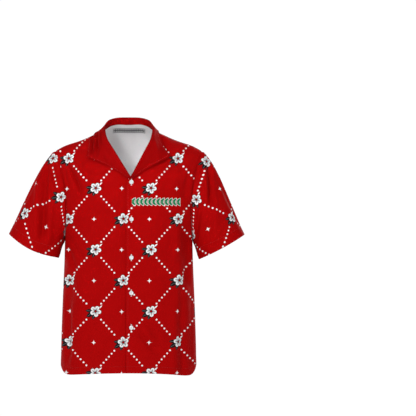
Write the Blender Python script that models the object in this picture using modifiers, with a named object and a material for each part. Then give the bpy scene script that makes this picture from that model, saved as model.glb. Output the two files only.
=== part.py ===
"""A short-sleeved shirt with an open camp collar, filled out as when it is worn, with no wearer.

Each piece that is cut and sewn on is an object of its own: the back, the left and right fronts, two
sleeves, the collar, five buttons and the neck label. The wearer's left is at +X, the front faces -Y
and +Z is up. The origin is in the middle of the neck, level with the highest points of the shoulder
seams.

The body is one surface. At a height z its section is a superellipse, and towards the top an arch
carries it over the shoulders. The panels are lofted over that surface between their seams, the
sleeves run from the armhole's own points to the cuffs, and the collar starts from the neckline's own
points. Folds are troughs and ridges laid along short lines.
"""

import math
from collections import namedtuple

import bmesh
import bpy
from mathutils import Matrix, Vector

# Driving dimensions, in metres.
BODY_LENGTH = 0.7165  # from the neck's level to the hem in the middle
HEM_DIPS = {1: 0.016, -1: 0.011}  # how much lower the left and right hems hang towards the side
HEM_RISE = 0.0185  # how much higher the hem is at the side seams
ARMPIT_Z = -0.324
SHOULDER_HALF = 0.219
SHOULDER_TIP_Z = -0.0600
NECK_HALF = 0.080
NECK_SIDE_Z = 0.001
NECK_BACK_Y = 0.068  # how far the back neck lies behind the shoulder line
V_POINT_Z = -0.140  # where the neckline ends in front
CENTRE_X = 0.0075  # the buttons' line; the left front lies over the right one
OVERLAP_HALF = 0.015
BEND_HEIGHT = 0.026  # below the V the fronts' edges bend away over this height
V_LEAN = 0.0105  # the right half of the V reaches this much further to the middle
V_LEAN_TOP_Z = -0.020  # and begins to do so here
WALL = 0.0016  # cloth of the panels and sleeves
COLLAR_WALL = 0.0018
SEAM_GAP = 0.0004  # between the pieces at a seam
NECK_GAP = COLLAR_WALL / 2 + SEAM_GAP  # the collar stands up at the neckline
LAP_GAP = 0.0009  # between the fronts where one lies over the other
LAP_START = 0.026  # the right front begins to sink this far before the left one's edge
LAP_RUN = 0.024
SLEEVE_SET_IN = 0.0020  # the armhole turns a corner, so the sleeve starts this far off it

# The form of the sections.
SQUARENESS = 2.3  # exponent of the superellipse
ARCH_HEIGHT = 0.142  # the drop over which the shoulders round off
ARMHOLE_SHARE = 0.46  # the armhole's half width as a share of the body's depth
ARMHOLE_ROUND = 0.11  # the height over which the armhole's foot widens

Section = namedtuple("Section", "z front back")
SECTIONS = [  # how far the front and the back stand from the shoulder line
    Section(-0.7200, 0.149, 0.141),
    Section(-0.5500, 0.147, 0.136),
    Section(-0.4000, 0.143, 0.134),
    Section(-0.3000, 0.138, 0.137),
    Section(-0.2000, 0.130, 0.138),
    Section(-0.1000, 0.118, 0.133),
    Section(0.0000, 0.104, 0.126),
    Section(0.0500, 0.096, 0.120),
]

Edge = namedtuple("Edge", "z x")
EDGES = [  # the side seam up to the armpit, and the armhole seam above it
    Edge(-0.7200, 0.2022),
    Edge(-0.6300, 0.2008),
    Edge(-0.5000, 0.1964),
    Edge(-0.4000, 0.1922),
    Edge(ARMPIT_Z, 0.1900),
    Edge(-0.2550, 0.1862),
    Edge(-0.1900, 0.1880),
    Edge(-0.1250, 0.1995),
    Edge(SHOULDER_TIP_Z, SHOULDER_HALF),
]

Ridge = namedtuple("Ridge", "x z")
RIDGE = [  # the shoulder line from the middle outwards; inside the neck it isn't built
    Ridge(0.000, 0.0460),
    Ridge(0.030, 0.0430),
    Ridge(0.055, 0.0290),
    Ridge(NECK_HALF, NECK_SIDE_Z),
    Ridge(0.110, -0.0150),
    Ridge(0.145, -0.0300),
    Ridge(0.190, -0.0450),
    Ridge(SHOULDER_HALF, SHOULDER_TIP_Z),
]

Neckline = namedtuple("Neckline", "z x")
NECKLINE = [  # the front neckline, from its lower end up to the shoulder
    Neckline(V_POINT_Z, 0.0105),
    Neckline(-0.100, 0.0335),
    Neckline(-0.060, 0.0545),
    Neckline(-0.030, 0.0690),
    Neckline(-0.012, 0.0762),
    Neckline(NECK_SIDE_Z, NECK_HALF),
]

# Each fold is a line over one face, seen from the front: a ridge if its height is above 0.
Fold = namedtuple("Fold", "face x_top z_top x_foot z_foot height width")
FRONT, BACK = -1, 1
FOLDS = [
    Fold(FRONT, -0.180, -0.100, -0.134, -0.195, -0.0060, 0.011),
    Fold(FRONT, -0.152, -0.085, -0.110, -0.190, 0.0045, 0.013),
    Fold(FRONT, -0.172, -0.400, -0.176, -0.700, -0.0060, 0.014),
    Fold(FRONT, -0.140, -0.420, -0.146, -0.740, 0.0045, 0.018),
    Fold(FRONT, 0.164, -0.250, 0.172, -0.480, -0.0070, 0.013),
    Fold(FRONT, 0.138, -0.260, 0.150, -0.560, 0.0050, 0.017),
    Fold(FRONT, 0.170, -0.560, 0.166, -0.740, -0.0060, 0.014),
    Fold(FRONT, 0.060, -0.560, 0.100, -0.700, -0.0035, 0.014),
    Fold(FRONT, 0.150, -0.130, 0.168, -0.220, -0.0045, 0.012),
    Fold(BACK, 0.111, -0.250, 0.112, -0.745, -0.0085, 0.014),
    Fold(BACK, 0.146, -0.300, 0.150, -0.745, 0.0060, 0.016),
    Fold(BACK, 0.055, -0.280, 0.045, -0.745, 0.0060, 0.026),
    Fold(BACK, -0.131, -0.280, -0.128, -0.640, -0.0075, 0.013),
    Fold(BACK, -0.155, -0.300, -0.154, -0.700, 0.0050, 0.013),
    Fold(BACK, -0.090, -0.300, -0.085, -0.745, 0.0045, 0.022),
    Fold(BACK, 0.165, -0.160, 0.150, -0.260, -0.0050, 0.013),
    Fold(BACK, -0.165, -0.160, -0.150, -0.260, -0.0050, 0.013),
]
FOLD_END = 0.045  # a fold rises and dies away over this length
FOLD_FADE = 0.035  # folds die away this near to a seam

# The cuffs' corners, seen from the front, and how far the cuff dips at its front and back.
Cuff = namedtuple("Cuff", "side outer_x outer_z inner_x inner_z front_dip back_dip")
CUFFS = {
    "right_sleeve": Cuff(-1, -0.3575, -0.309, -0.2095, -0.380, 0.013, 0.003),
    "left_sleeve": Cuff(1, 0.3470, -0.310, 0.2110, -0.384, 0.003, 0.002),
}
CUFF_HALF_DEPTH = 0.062
CUFF_REACH = 0.536  # how far a sleeve runs straight into its cuff, as a share of its length

# How a sleeve sets off from the armhole: its direction, and how far it keeps it.
SleeveStart = namedtuple("SleeveStart", "out aside down reach")
CAP_START = SleeveStart(1.00, 0.45, 0.40, 0.130)
UNDERARM_START = SleeveStart(0.55, 0.45, 0.84, 0.050)

# Round angles are measured from the front: 90 degrees is the top of the sleeve, 180 its back.
SleeveFold = namedtuple("SleeveFold", "sleeve angle start end height width")
SLEEVE_FOLDS = [
    SleeveFold("right_sleeve", 14, 0.05, 0.80, -0.0060, 0.010),
    SleeveFold("right_sleeve", 38, 0.25, 1.10, 0.0040, 0.014),
    SleeveFold("right_sleeve", -14, 0.10, 0.90, 0.0035, 0.012),
    SleeveFold("right_sleeve", -38, 0.20, 1.00, -0.0045, 0.010),
    SleeveFold("right_sleeve", 160, 0.10, 0.90, -0.0060, 0.011),
    SleeveFold("right_sleeve", 186, 0.15, 1.10, 0.0045, 0.014),
    SleeveFold("left_sleeve", 14, 0.05, 0.75, -0.0055, 0.011),
    SleeveFold("left_sleeve", -22, 0.20, 1.10, 0.0040, 0.014),
    SleeveFold("left_sleeve", 170, 0.10, 1.10, -0.0065, 0.011),
    SleeveFold("left_sleeve", 192, 0.15, 1.10, 0.0050, 0.012),
    SleeveFold("left_sleeve", 216, 0.10, 0.80, -0.0050, 0.010),
]
SLEEVE_FOLD_END = 0.25  # a sleeve's fold rises and dies away over this share of its length

# The collar from the front neckline's lower end (share 0) by the shoulder (share 1) to the middle
# of the back (share 2). Its roll line, and the free edge of the leaf that falls from it.
CollarLine = namedtuple("CollarLine", "share roll_x roll_y roll_z edge_x edge_y edge_z")
COLLAR = [
    CollarLine(0.00, 0.0095, -0.139, -0.1385, 0.0165, -0.136, -0.1415),
    CollarLine(0.20, 0.0215, -0.134, -0.1130, 0.0400, -0.132, -0.1165),
    CollarLine(0.42, 0.0365, -0.125, -0.0840, 0.0730, -0.122, -0.0970),
    CollarLine(0.62, 0.0505, -0.112, -0.0570, 0.1225, -0.097, -0.0825),
    CollarLine(0.80, 0.0640, -0.086, -0.0300, 0.1070, -0.072, -0.0530),
    CollarLine(1.00, 0.0710, -0.030, 0.0010, 0.0925, -0.018, -0.0060),
    CollarLine(1.25, 0.0690, 0.012, 0.0185, 0.0870, 0.030, -0.0040),
    CollarLine(1.50, 0.0595, 0.042, 0.0345, 0.0700, 0.062, 0.0020),
    CollarLine(1.75, 0.0350, 0.065, 0.0435, 0.0400, 0.081, 0.0070),
    CollarLine(2.00, 0.0000, 0.072, 0.0450, 0.0000, 0.088, 0.0085),
]
TIP_SHARE = 0.62  # the collar's point
TIP_SPREAD = 0.12  # the share over which the leaf lifts towards it
ROLL_RADIUS = 0.0026
LEAF_LIFT = 0.0040  # the leaf's middle above the panels' middle
TIP_LIFT = 0.0060

BUTTON_HEIGHTS = [-0.158, -0.267, -0.3795, -0.483, -0.584]
BUTTON_RADIUS = 0.0063
BUTTON_THICK = 0.0024
BUTTON_SIDES = 16
ButtonTurn = namedtuple("ButtonTurn", "radius height")
BUTTON_PROFILE = [  # as shares of the radius and the thickness, from the dished top down
    ButtonTurn(0.00, 0.62),
    ButtonTurn(0.55, 0.62),
    ButtonTurn(0.74, 1.00),
    ButtonTurn(0.92, 0.92),
    ButtonTurn(1.00, 0.55),
    ButtonTurn(0.80, 0.00),
    ButtonTurn(0.00, 0.00),
]

LABEL_WALL = 0.0010
# Where the label lies, in rows below the back panel's top and in columns from its middle.
LABEL_ROWS = (1.6, 1.0, 0.3)
LABEL_COLUMNS = (-2.4, -2, -1, 0, 1, 2, 2.4)

# How finely the panels are divided, and the rows where the parts of a panel begin.
COLUMNS = 12
BACK_COLUMNS = 16
NECK_COLUMNS = 4
SKIRT_ROWS = 11
CHEST_ROWS = 6
ARCH_ROWS = 8
NECK_ROW = SKIRT_ROWS + CHEST_ROWS
TOP_ROW = NECK_ROW + ARCH_ROWS
ARMPIT_HEIGHTS = (-0.345, ARMPIT_Z)  # of the row level with the armpit, in the middle and at the side
CHEST_HEIGHTS = (V_POINT_Z, -0.185)  # of the row where the shoulders begin to round off
SLEEVE_RINGS = 12
LEAF_ROWS = 5
ROLL_ROWS = 4
SEAM_PARTS = 2  # the collar has this many sections for each step of the panels


def clear_scene():
    for item in list(bpy.data.objects):
        bpy.data.objects.remove(item, do_unlink=True)


def principled(name, colour, roughness):
    material = bpy.data.materials.new(name)
    material.use_nodes = True
    shader = material.node_tree.nodes["Principled BSDF"]
    shader.inputs["Base Color"].default_value = (*colour, 1.0)
    shader.inputs["Roughness"].default_value = roughness
    shader.inputs["Metallic"].default_value = 0.0
    return material


def read(rows, key, column, at):
    """The value of a table's column where its key is at, on a smooth curve through the rows."""
    keys = [getattr(row, key) for row in rows]
    values = [getattr(row, column) for row in rows]
    if at <= keys[0]:
        return values[0]
    if at >= keys[-1]:
        return values[-1]
    i = next(k for k in range(len(keys) - 1) if at <= keys[k + 1])

    def slope(k):
        low, high = max(k - 1, 0), min(k + 1, len(keys) - 1)
        return (values[high] - values[low]) / (keys[high] - keys[low])

    span = keys[i + 1] - keys[i]
    t = (at - keys[i]) / span
    start, end = slope(i) * span, slope(i + 1) * span
    return (
        values[i] * (2 * t**3 - 3 * t**2 + 1)
        + start * (t**3 - 2 * t**2 + t)
        + values[i + 1] * (3 * t**2 - 2 * t**3)
        + end * (t**3 - t**2)
    )


def mix(a, b, t):
    return a + (b - a) * t


def smooth(t):
    t = min(1.0, max(0.0, t))
    return t * t * (3 - 2 * t)


def power(value, exponent):
    return math.copysign(abs(value) ** exponent, value)


# The body's surface.


def ridge(x):
    return read(RIDGE, "x", "z", abs(x))


def depth(z, face):
    return read(SECTIONS, "z", "front" if face == FRONT else "back", z)


def edge_angle(z):
    """Where the panels end, as an angle round the section from the middle of the front or back."""
    if z <= ARMPIT_Z:
        return math.pi / 2
    rise = min(1.0, (z - ARMPIT_Z) / ARMHOLE_ROUND)
    share = ARMHOLE_SHARE * math.sqrt(1 - (1 - rise) ** 2)
    return math.acos(share ** (SQUARENESS / 2))


def half_width(z):
    return read(EDGES, "z", "x", z) / math.sin(edge_angle(z)) ** (2 / SQUARENESS)


def angle_at(x, z):
    share = min(1.0, abs(x) / half_width(z))
    return math.copysign(math.asin(share ** (SQUARENESS / 2)), x)


def x_at(angle, z):
    return half_width(z) * power(math.sin(angle), 2 / SQUARENESS)


def crown(x, z):
    """The share of its depth that the body has at a height: none at the shoulder line."""
    fall = min(1.0, max(0.0, (ridge(x) - z) / ARCH_HEIGHT))
    return math.sqrt(1 - (1 - fall) ** 2)


def body_point(angle, z, face):
    x = x_at(angle, z)
    round_off = max(0.0, math.cos(angle)) ** (2 / SQUARENESS)
    return Vector((x, face * depth(z, face) * round_off * crown(x, z), z))


def outwards(point):
    """How far out of the body a point is: 1 on the surface."""
    x, y, z = point
    face = FRONT if y < 0 else BACK
    share = min(0.999, abs(x) / half_width(z))
    reach = depth(z, face) * (1 - share**SQUARENESS) ** (1 / SQUARENESS)
    across = y / max(reach, 1e-6)
    fall = min(1.0, (ridge(x) - z) / ARCH_HEIGHT)
    return math.sqrt(across**2 + (1 - fall) ** 2)


def body_normal(point):
    step = 1e-4
    way = Vector(
        outwards(point + offset) - outwards(point - offset)
        for offset in (Vector((step, 0, 0)), Vector((0, step, 0)), Vector((0, 0, step)))
    )
    return way / (2 * step)


def rest_on_body(point, lift):
    """The point moved along the surface's normal until it stands lift from the body."""
    for _ in range(8):
        slope = body_normal(point)
        away = (outwards(point) - 1) / slope.length
        point = point + slope.normalized() * (lift - away)
    return point


def clear_of_body(point, lift):
    """The point moved out, if it is nearer to the body than lift."""
    for _ in range(6):
        slope = body_normal(point)
        away = (outwards(point) - 1) / slope.length
        if away < lift:
            point = point + slope.normalized() * (lift - away)
    return point


# Grids of points, a list of rows each.


def grid_normals(grid, around=False):
    rows, columns = len(grid), len(grid[0])

    def at(i, j):
        return grid[i][j % columns] if around else grid[i][min(max(j, 0), columns - 1)]

    normals = []
    for i in range(rows):
        line = []
        for j in range(columns):
            across = at(i, j + 1) - at(i, j - 1)
            up = grid[min(i + 1, rows - 1)][j] - grid[max(i - 1, 0)][j]
            line.append(across.cross(up).normalized())
        normals.append(line)
    return normals


def fold_height(x, z, face):
    total = 0.0
    for fold in FOLDS:
        if fold.face != face:
            continue
        top = Vector((fold.x_top, fold.z_top))
        along = Vector((fold.x_foot, fold.z_foot)) - top
        place = (Vector((x, z)) - top).dot(along.normalized())
        off = (Vector((x, z)) - top - along.normalized() * place).length
        ends = smooth(place / FOLD_END) * smooth((along.length - place) / FOLD_END)
        total += fold.height * math.exp(-((off / fold.width) ** 2)) * ends
    return total


def seam_fade(x, z):
    """1 in the middle of the panels, falling to 0 at the side, armhole and shoulder seams."""
    return smooth((read(EDGES, "z", "x", z) - abs(x)) / FOLD_FADE) * smooth(
        (ridge(x) - z) / FOLD_FADE
    )


def folded(grid, face):
    """The grid with the folds of its face pushed in or out along its normals."""
    normals = grid_normals(grid)
    # The columns run towards +X, so on the back panel the normals point inwards.
    return [
        [
            point + normal * (-face * fold_height(point.x, point.z, face) * seam_fade(point.x, point.z))
            for point, normal in zip(row, normal_row)
        ]
        for row, normal_row in zip(grid, normals)
    ]


def trimmed(grid, draws):
    """The grid with points of its edges drawn in: draws gives a distance for a row and column."""
    last_row, last_column = len(grid) - 1, len(grid[0]) - 1
    cut = [list(row) for row in grid]
    for i, row in enumerate(grid):
        for j, point in enumerate(row):
            inner = grid[min(max(i, 1), last_row - 1)][min(max(j, 1), last_column - 1)]
            distance = draws(i, j)
            if distance:
                cut[i][j] = point + (inner - point).normalized() * distance
    return cut


def add_sheet(name, grid, wall, material, around=False):
    """A wall of cloth whose middle is the grid."""
    mesh = bpy.data.meshes.new(name)
    work = bmesh.new()
    verts = [[work.verts.new(point) for point in row] for row in grid]
    columns = len(grid[0])
    for low, high in zip(verts, verts[1:]):
        for j in range(columns if around else columns - 1):
            k = (j + 1) % columns
            work.faces.new((low[j], low[k], high[k], high[j]))
    work.to_mesh(mesh)
    work.free()
    mesh.shade_smooth()
    mesh.materials.append(material)
    piece = bpy.data.objects.new(name, mesh)
    shirt.objects.link(piece)
    solid = piece.modifiers.new("Cloth", "SOLIDIFY")
    solid.thickness = wall
    solid.offset = 0.0
    return piece


# The panels.


def front_hem_z(angle, side):
    """The front's hem sinks towards the side, then turns up to the side seam."""
    aside, dip = abs(math.sin(angle)), HEM_DIPS[side]
    return -BODY_LENGTH - dip * aside**2 + (dip + HEM_RISE) * aside**20


def back_hem_z(angle):
    """The back's hem is straight and rises towards the side seams."""
    return -BODY_LENGTH + HEM_RISE * math.sin(angle) ** 5


def column_heights(bottom, armpit, chest, top, arch_top):
    """The rows' heights up one column, even up to the chest and then even round the arch."""
    heights = [mix(bottom, armpit, i / SKIRT_ROWS) for i in range(SKIRT_ROWS)]
    heights += [mix(armpit, chest, i / CHEST_ROWS) for i in range(CHEST_ROWS)]
    last = math.acos(1 - (arch_top - top) / (arch_top - chest))
    for i in range(ARCH_ROWS + 1):
        turn = mix(math.pi / 2, last, i / ARCH_ROWS)
        heights.append(arch_top - (arch_top - chest) * (1 - math.cos(turn)))
    return heights


def on_ridge(x_of_z):
    z = SHOULDER_TIP_Z
    for _ in range(12):
        z = ridge(x_of_z(z))
    return z


def front_grid(side, inner_x):
    """A front, from its middle edge to its side; inner_x gives that edge's place at a height."""

    def angle_of(z, share):
        return mix(angle_at(inner_x(z), z), edge_angle(z), share)

    columns = []
    for j in range(COLUMNS + 1):
        share = j / COLUMNS
        top = on_ridge(lambda z: x_at(angle_of(z, share), z))
        heights = column_heights(
            front_hem_z(angle_of(-BODY_LENGTH, share), side),
            mix(*ARMPIT_HEIGHTS, share),
            mix(*CHEST_HEIGHTS, share),
            top,
            top,
        )
        column = [body_point(angle_of(z, share), z, FRONT) for z in heights]
        columns.append(column)
    rows = [list(row) for row in zip(*columns)]
    for row in rows:
        for point in row:
            point.x *= side
    return rows if side > 0 else [row[::-1] for row in rows]


def neck_edge(z):
    return read(NECKLINE, "z", "x", z)


def left_inner_x(z):
    """The left front's edge: straight, then bending away to the end of the neckline."""
    if z >= V_POINT_Z:
        return neck_edge(z)
    edge = CENTRE_X - OVERLAP_HALF
    bend = max(0.0, 1 - (V_POINT_Z - z) / BEND_HEIGHT)
    return mix(edge, NECKLINE[0].x, bend**2)


def lean(z):
    """How far the right side of the V leans over towards the buttons' line."""
    fall = (V_LEAN_TOP_Z - z) / (V_LEAN_TOP_Z - V_POINT_Z)
    return V_LEAN * min(1.0, max(0.0, fall))


def right_inner_x(z):
    """The right front's edge, which lies under the left front, seen from its own side."""
    if z >= V_POINT_Z:
        return neck_edge(z) - lean(z)
    edge = -(CENTRE_X + OVERLAP_HALF)
    bend = max(0.0, 1 - (V_POINT_Z - z) / BEND_HEIGHT)
    return mix(edge, NECKLINE[0].x - V_LEAN, bend**2)


def back_grid():
    neck_share = NECK_COLUMNS / BACK_COLUMNS  # the column that ends at the shoulder seam's inner end

    def angle_of(z, share):
        """The columns shift as they rise, so that one of them meets the neck's corner."""
        rise = smooth((z - V_POINT_Z) / (NECK_SIDE_Z - V_POINT_Z))
        wanted = angle_at(NECK_HALF, NECK_SIDE_Z) / edge_angle(NECK_SIDE_Z)
        if share < neck_share:
            shift = share / neck_share
        else:
            shift = (1 - share) / (1 - neck_share)
        return edge_angle(z) * (share + (wanted - neck_share) * shift * rise)

    def neck_top(share):
        z = NECK_SIDE_Z
        for _ in range(12):
            x = x_at(angle_of(z, share), z)
            back = NECK_BACK_Y * math.sqrt(max(0.0, 1 - (x / NECK_HALF) ** 2))
            reach = depth(z, BACK) * math.cos(angle_of(z, share)) ** (2 / SQUARENESS)
            z = ridge(x) - ARCH_HEIGHT * (1 - math.sqrt(1 - (back / reach) ** 2))
        return z, ridge(x)

    columns = []
    for j in range(-BACK_COLUMNS, BACK_COLUMNS + 1):
        share = abs(j) / BACK_COLUMNS
        if share < neck_share - 1e-6:
            top, arch_top = neck_top(share)
        else:
            top = arch_top = on_ridge(lambda z: x_at(angle_of(z, share), z))
        heights = column_heights(
            back_hem_z(share * math.pi / 2),
            mix(*ARMPIT_HEIGHTS, share),
            mix(*CHEST_HEIGHTS, share),
            top,
            arch_top,
        )
        turn = math.copysign(1, j) if j else 0
        columns.append([body_point(turn * angle_of(z, share), z, BACK) for z in heights])
    return [list(row) for row in zip(*columns)]


def under_lap(grid):
    """The right front drawn in behind the left one where they overlap."""
    normals = grid_normals(grid)
    sunk = []
    for row, normal_row in zip(grid, normals):
        line = []
        for point, normal in zip(row, normal_row):
            under = point.x - (CENTRE_X - OVERLAP_HALF)
            lap = smooth((under + LAP_START) / LAP_RUN)
            line.append(point - normal * lap * (WALL + LAP_GAP))
        sunk.append(line)
    return sunk


# The sleeves.


def armhole(side, front, back):
    """The armhole's points from under the arm up the front edge, over the shoulder and down the
    back edge, with the share of the way round at each."""
    column = -1 if side > 0 else 0
    up = [row[column] for row in front[SKIRT_ROWS:]]
    down = [row[column] for row in back[SKIRT_ROWS:]][::-1]

    def shares(points):
        steps = [(b - a).length for a, b in zip(points, points[1:])]
        return [sum(steps[:i]) / sum(steps) for i in range(len(points))]

    loop = [(point, share / 2) for point, share in zip(up, shares(up))]
    loop += [(point, 0.5 + share / 2) for point, share in zip(down, shares(down))][1:-1]
    return loop


def sleeve_fold(name, angle, t, radius):
    total = 0.0
    for fold in SLEEVE_FOLDS:
        if fold.sleeve != name:
            continue
        turn = (math.degrees(angle) - fold.angle + 180) % 360 - 180
        off = math.radians(turn) * radius
        ends = smooth((t - fold.start) / SLEEVE_FOLD_END) * smooth((fold.end - t) / SLEEVE_FOLD_END)
        total += fold.height * math.exp(-((off / fold.width) ** 2)) * ends
    return total


def sleeve_grid(name, loop):
    cuff = CUFFS[name]
    outer = Vector((cuff.outer_x, 0, cuff.outer_z))
    inner = Vector((cuff.inner_x, 0, cuff.inner_z))
    centre, across = (outer + inner) / 2, (outer - inner) / 2
    axis = Vector((-across.z * cuff.side, 0, across.x * cuff.side)).normalized()
    if axis.z > 0:
        axis = -axis
    columns = []
    for start, share in loop:
        angle = math.tau * share - math.pi / 2
        height, ahead = math.sin(angle), math.cos(angle)
        dip = mix(cuff.back_dip, cuff.front_dip, (1 + ahead) / 2) * ahead**2
        end = centre + across * height + Vector((0, -CUFF_HALF_DEPTH * ahead, 0)) + axis * dip
        top = (1 + height) / 2
        set_off = SleeveStart(*(mix(low, high, top) for low, high in zip(UNDERARM_START, CAP_START)))
        leave = Vector((cuff.side * set_off.out, -set_off.aside * ahead, -set_off.down)).normalized()
        first = leave * set_off.reach
        last = axis * CUFF_REACH * (end - start).length
        column = []
        for i in range(SLEEVE_RINGS + 1):
            t = i / SLEEVE_RINGS
            column.append(
                start * (2 * t**3 - 3 * t**2 + 1)
                + first * (t**3 - 2 * t**2 + t)
                + end * (3 * t**2 - 2 * t**3)
                + last * (t**3 - t**2)
            )
        column[0] = column[0] + leave * SLEEVE_SET_IN
        column[0].x += cuff.side * SLEEVE_SET_IN * (1 - top) ** 2
        columns.append(column)
    rows = [list(row) for row in zip(*columns)]
    normals = grid_normals(rows, around=True)
    for i, row in enumerate(rows):
        middle = sum(row, Vector()) / len(row)
        for j, point in enumerate(row):
            normal = normals[i][j]
            if normal.dot(point - middle) < 0:
                normal = -normal
            angle = math.tau * loop[j][1] - math.pi / 2
            height = sleeve_fold(name, angle, i / SLEEVE_RINGS, (point - middle).length)
            row[j] = point + normal * height
    return rows


# The collar.


def collar_place(share, column):
    """A value of the collar's table; the point of the leaf stays sharp."""
    if column.startswith("edge"):
        if share <= TIP_SHARE:
            rows = [row for row in COLLAR if row.share <= TIP_SHARE]
        else:
            rows = [row for row in COLLAR if row.share >= TIP_SHARE]
        return read(rows, "share", column, share)
    return read(COLLAR, "share", column, share)


def collar_section(seam, side, share):
    """One section of the collar, from its seam up the stand, round the roll and down the leaf."""
    roll = Vector(collar_place(share, "roll_" + axis) for axis in "xyz")
    edge = Vector(collar_place(share, "edge_" + axis) for axis in "xyz")
    if side < 0:
        roll.x -= lean(roll.z)
        edge.x -= lean(edge.z) * max(0.0, 1 - share / TIP_SHARE)
    tip = math.exp(-(((share - TIP_SHARE) / TIP_SPREAD) ** 2))
    seam = Vector((seam.x * side, seam.y, seam.z))
    edge = rest_on_body(edge, mix(LEAF_LIFT, TIP_LIFT, tip))
    up = (roll - (seam + edge) / 2).normalized()
    over = body_normal(seam)
    over = (over - up * over.dot(up)).normalized()
    centre = roll - up * ROLL_RADIUS
    foot = seam + (centre - over * ROLL_RADIUS - seam).normalized() * NECK_GAP
    points = [foot, (foot + centre - over * ROLL_RADIUS) / 2]
    for i in range(ROLL_ROWS + 1):
        turn = math.pi * i / ROLL_ROWS
        points.append(
            centre - over * ROLL_RADIUS * math.cos(turn) + up * ROLL_RADIUS * math.sin(turn)
        )
    start = points[-1]
    for i in range(1, LEAF_ROWS + 1):
        points.append(clear_of_body(start.lerp(edge, i / LEAF_ROWS), LEAF_LIFT))
    for point in points:
        point.x *= side
    return points


def finer(points, parts):
    """The points with each step between them divided in equal parts."""
    line = [a.lerp(b, k / parts) for a, b in zip(points, points[1:]) for k in range(parts)]
    return line + [points[-1]]


def collar_grid(left, right, back):
    """The collar's sections from the right front's neckline round the back to the left one's."""
    left_seam = finer([row[0] for row in left[NECK_ROW:]], SEAM_PARTS)
    right_seam = finer([row[-1] for row in right[NECK_ROW:]], SEAM_PARTS)
    first, last = BACK_COLUMNS - NECK_COLUMNS, BACK_COLUMNS + NECK_COLUMNS
    neck = finer(back[TOP_ROW][first : last + 1], SEAM_PARTS)
    steps = len(left_seam) - 1
    sections = []
    for i, point in enumerate(right_seam):
        sections.append(collar_section(point, -1, i / steps))
    for i, point in enumerate(neck[1:-1], start=1):
        share = 2 - abs(1 - 2 * i / (len(neck) - 1))
        sections.append(collar_section(point, -1 if point.x < 0 else 1, share))
    for i, point in reversed(list(enumerate(left_seam))):
        sections.append(collar_section(point, 1, i / steps))
    return sections


# The small pieces.


def add_button(name, height, material):
    """A turned button that lies just clear of the left front."""
    mesh = bpy.data.meshes.new(name)
    work = bmesh.new()
    verts = [
        work.verts.new((BUTTON_RADIUS * turn.radius, 0.0, BUTTON_THICK * turn.height))
        for turn in BUTTON_PROFILE
    ]
    for a, b in zip(verts, verts[1:]):
        work.edges.new((a, b))
    work.to_mesh(mesh)
    work.free()
    mesh.materials.append(material)
    button = bpy.data.objects.new(name, mesh)
    shirt.objects.link(button)
    turned = button.modifiers.new("Turned", "SCREW")
    turned.steps = turned.render_steps = BUTTON_SIDES
    turned.use_merge_vertices = True
    turned.merge_threshold = 0.00001
    place = body_point(angle_at(CENTRE_X, height), height, FRONT)
    normal = body_normal(place).normalized()
    button.rotation_mode = "QUATERNION"
    button.rotation_quaternion = normal.to_track_quat("Z", "Y")
    button.location = place + normal * (WALL / 2 + SEAM_GAP)
    return button


def between_points(grid, row, column):
    """A point of the grid at a row and column that needn't be whole."""
    i, j = min(int(row), len(grid) - 2), min(int(column), len(grid[0]) - 2)
    low = grid[i][j].lerp(grid[i][j + 1], column - j)
    high = grid[i + 1][j].lerp(grid[i + 1][j + 1], column - j)
    return low.lerp(high, row - i)


def label_grid(panel):
    """The label's points: the back panel's own, moved inwards."""
    inside = WALL / 2 + 2 * SEAM_GAP + LABEL_WALL / 2
    grid = []
    for row in LABEL_ROWS:
        line = []
        for column in LABEL_COLUMNS:
            point = between_points(panel, TOP_ROW - row, BACK_COLUMNS + column)
            line.append(point - body_normal(point).normalized() * inside)
        grid.append(line)
    return grid


# How far the panels' edges are drawn in: half a seam's gap, and more where the collar stands up.


def front_draws(outer_column, inner_column):
    def draws(i, j):
        if j == inner_column:
            return NECK_GAP if i >= NECK_ROW else 0
        return SEAM_GAP / 2 if i == TOP_ROW or j == outer_column else 0

    return draws


def back_draws(i, j):
    if i == TOP_ROW and abs(j - BACK_COLUMNS) <= NECK_COLUMNS:
        return NECK_GAP
    return SEAM_GAP / 2 if i == TOP_ROW or j in (0, 2 * BACK_COLUMNS) else 0


clear_scene()
shirt = bpy.data.collections.new("camp_shirt")
bpy.context.scene.collection.children.link(shirt)

cloth = principled("cloth_red", (0.40, 0.004, 0.006), 0.72)
collar_cloth = principled("collar_red", (0.38, 0.004, 0.006), 0.72)
pearl = principled("button_pearl", (0.83, 0.84, 0.82), 0.25)
label_cloth = principled("label_white", (0.80, 0.80, 0.78), 0.60)

left_front = front_grid(1, left_inner_x)
right_front = front_grid(-1, right_inner_x)
back_panel = back_grid()

left_cloth = trimmed(folded(left_front, FRONT), front_draws(COLUMNS, 0))
right_cloth = trimmed(under_lap(folded(right_front, FRONT)), front_draws(0, COLUMNS))
add_sheet("left_front", left_cloth, WALL, cloth)
add_sheet("right_front", right_cloth, WALL, cloth)
add_sheet("back", trimmed(folded(back_panel, BACK), back_draws), WALL, cloth)
for sleeve_name, front in (("left_sleeve", left_front), ("right_sleeve", right_front)):
    loop = armhole(CUFFS[sleeve_name].side, front, back_panel)
    add_sheet(sleeve_name, sleeve_grid(sleeve_name, loop), WALL, cloth, around=True)
add_sheet("collar", collar_grid(left_front, right_front, back_panel), COLLAR_WALL, collar_cloth)
add_sheet("neck_label", label_grid(back_panel), LABEL_WALL, label_cloth)
for number, button_z in enumerate(BUTTON_HEIGHTS, start=1):
    add_button(f"button_{number}", button_z, pearl)
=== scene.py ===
"""The looks of the hawaiian shirt: printed cloth shells with folds, hems and sewing, round its frame.

Everything is in metres in the frame of the solids: the wearer's left is at +X, the front faces -Y and
+Z is up. The body's surface, the seams and the collar follow the same named sizes as the solids; the
grids are finer, the cloth is thinner and there are more folds. Each point of the cloth also has a
place (u, v) in metres on the cloth as it was cut, and the print is drawn there.
"""

import math
from collections import namedtuple

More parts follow.
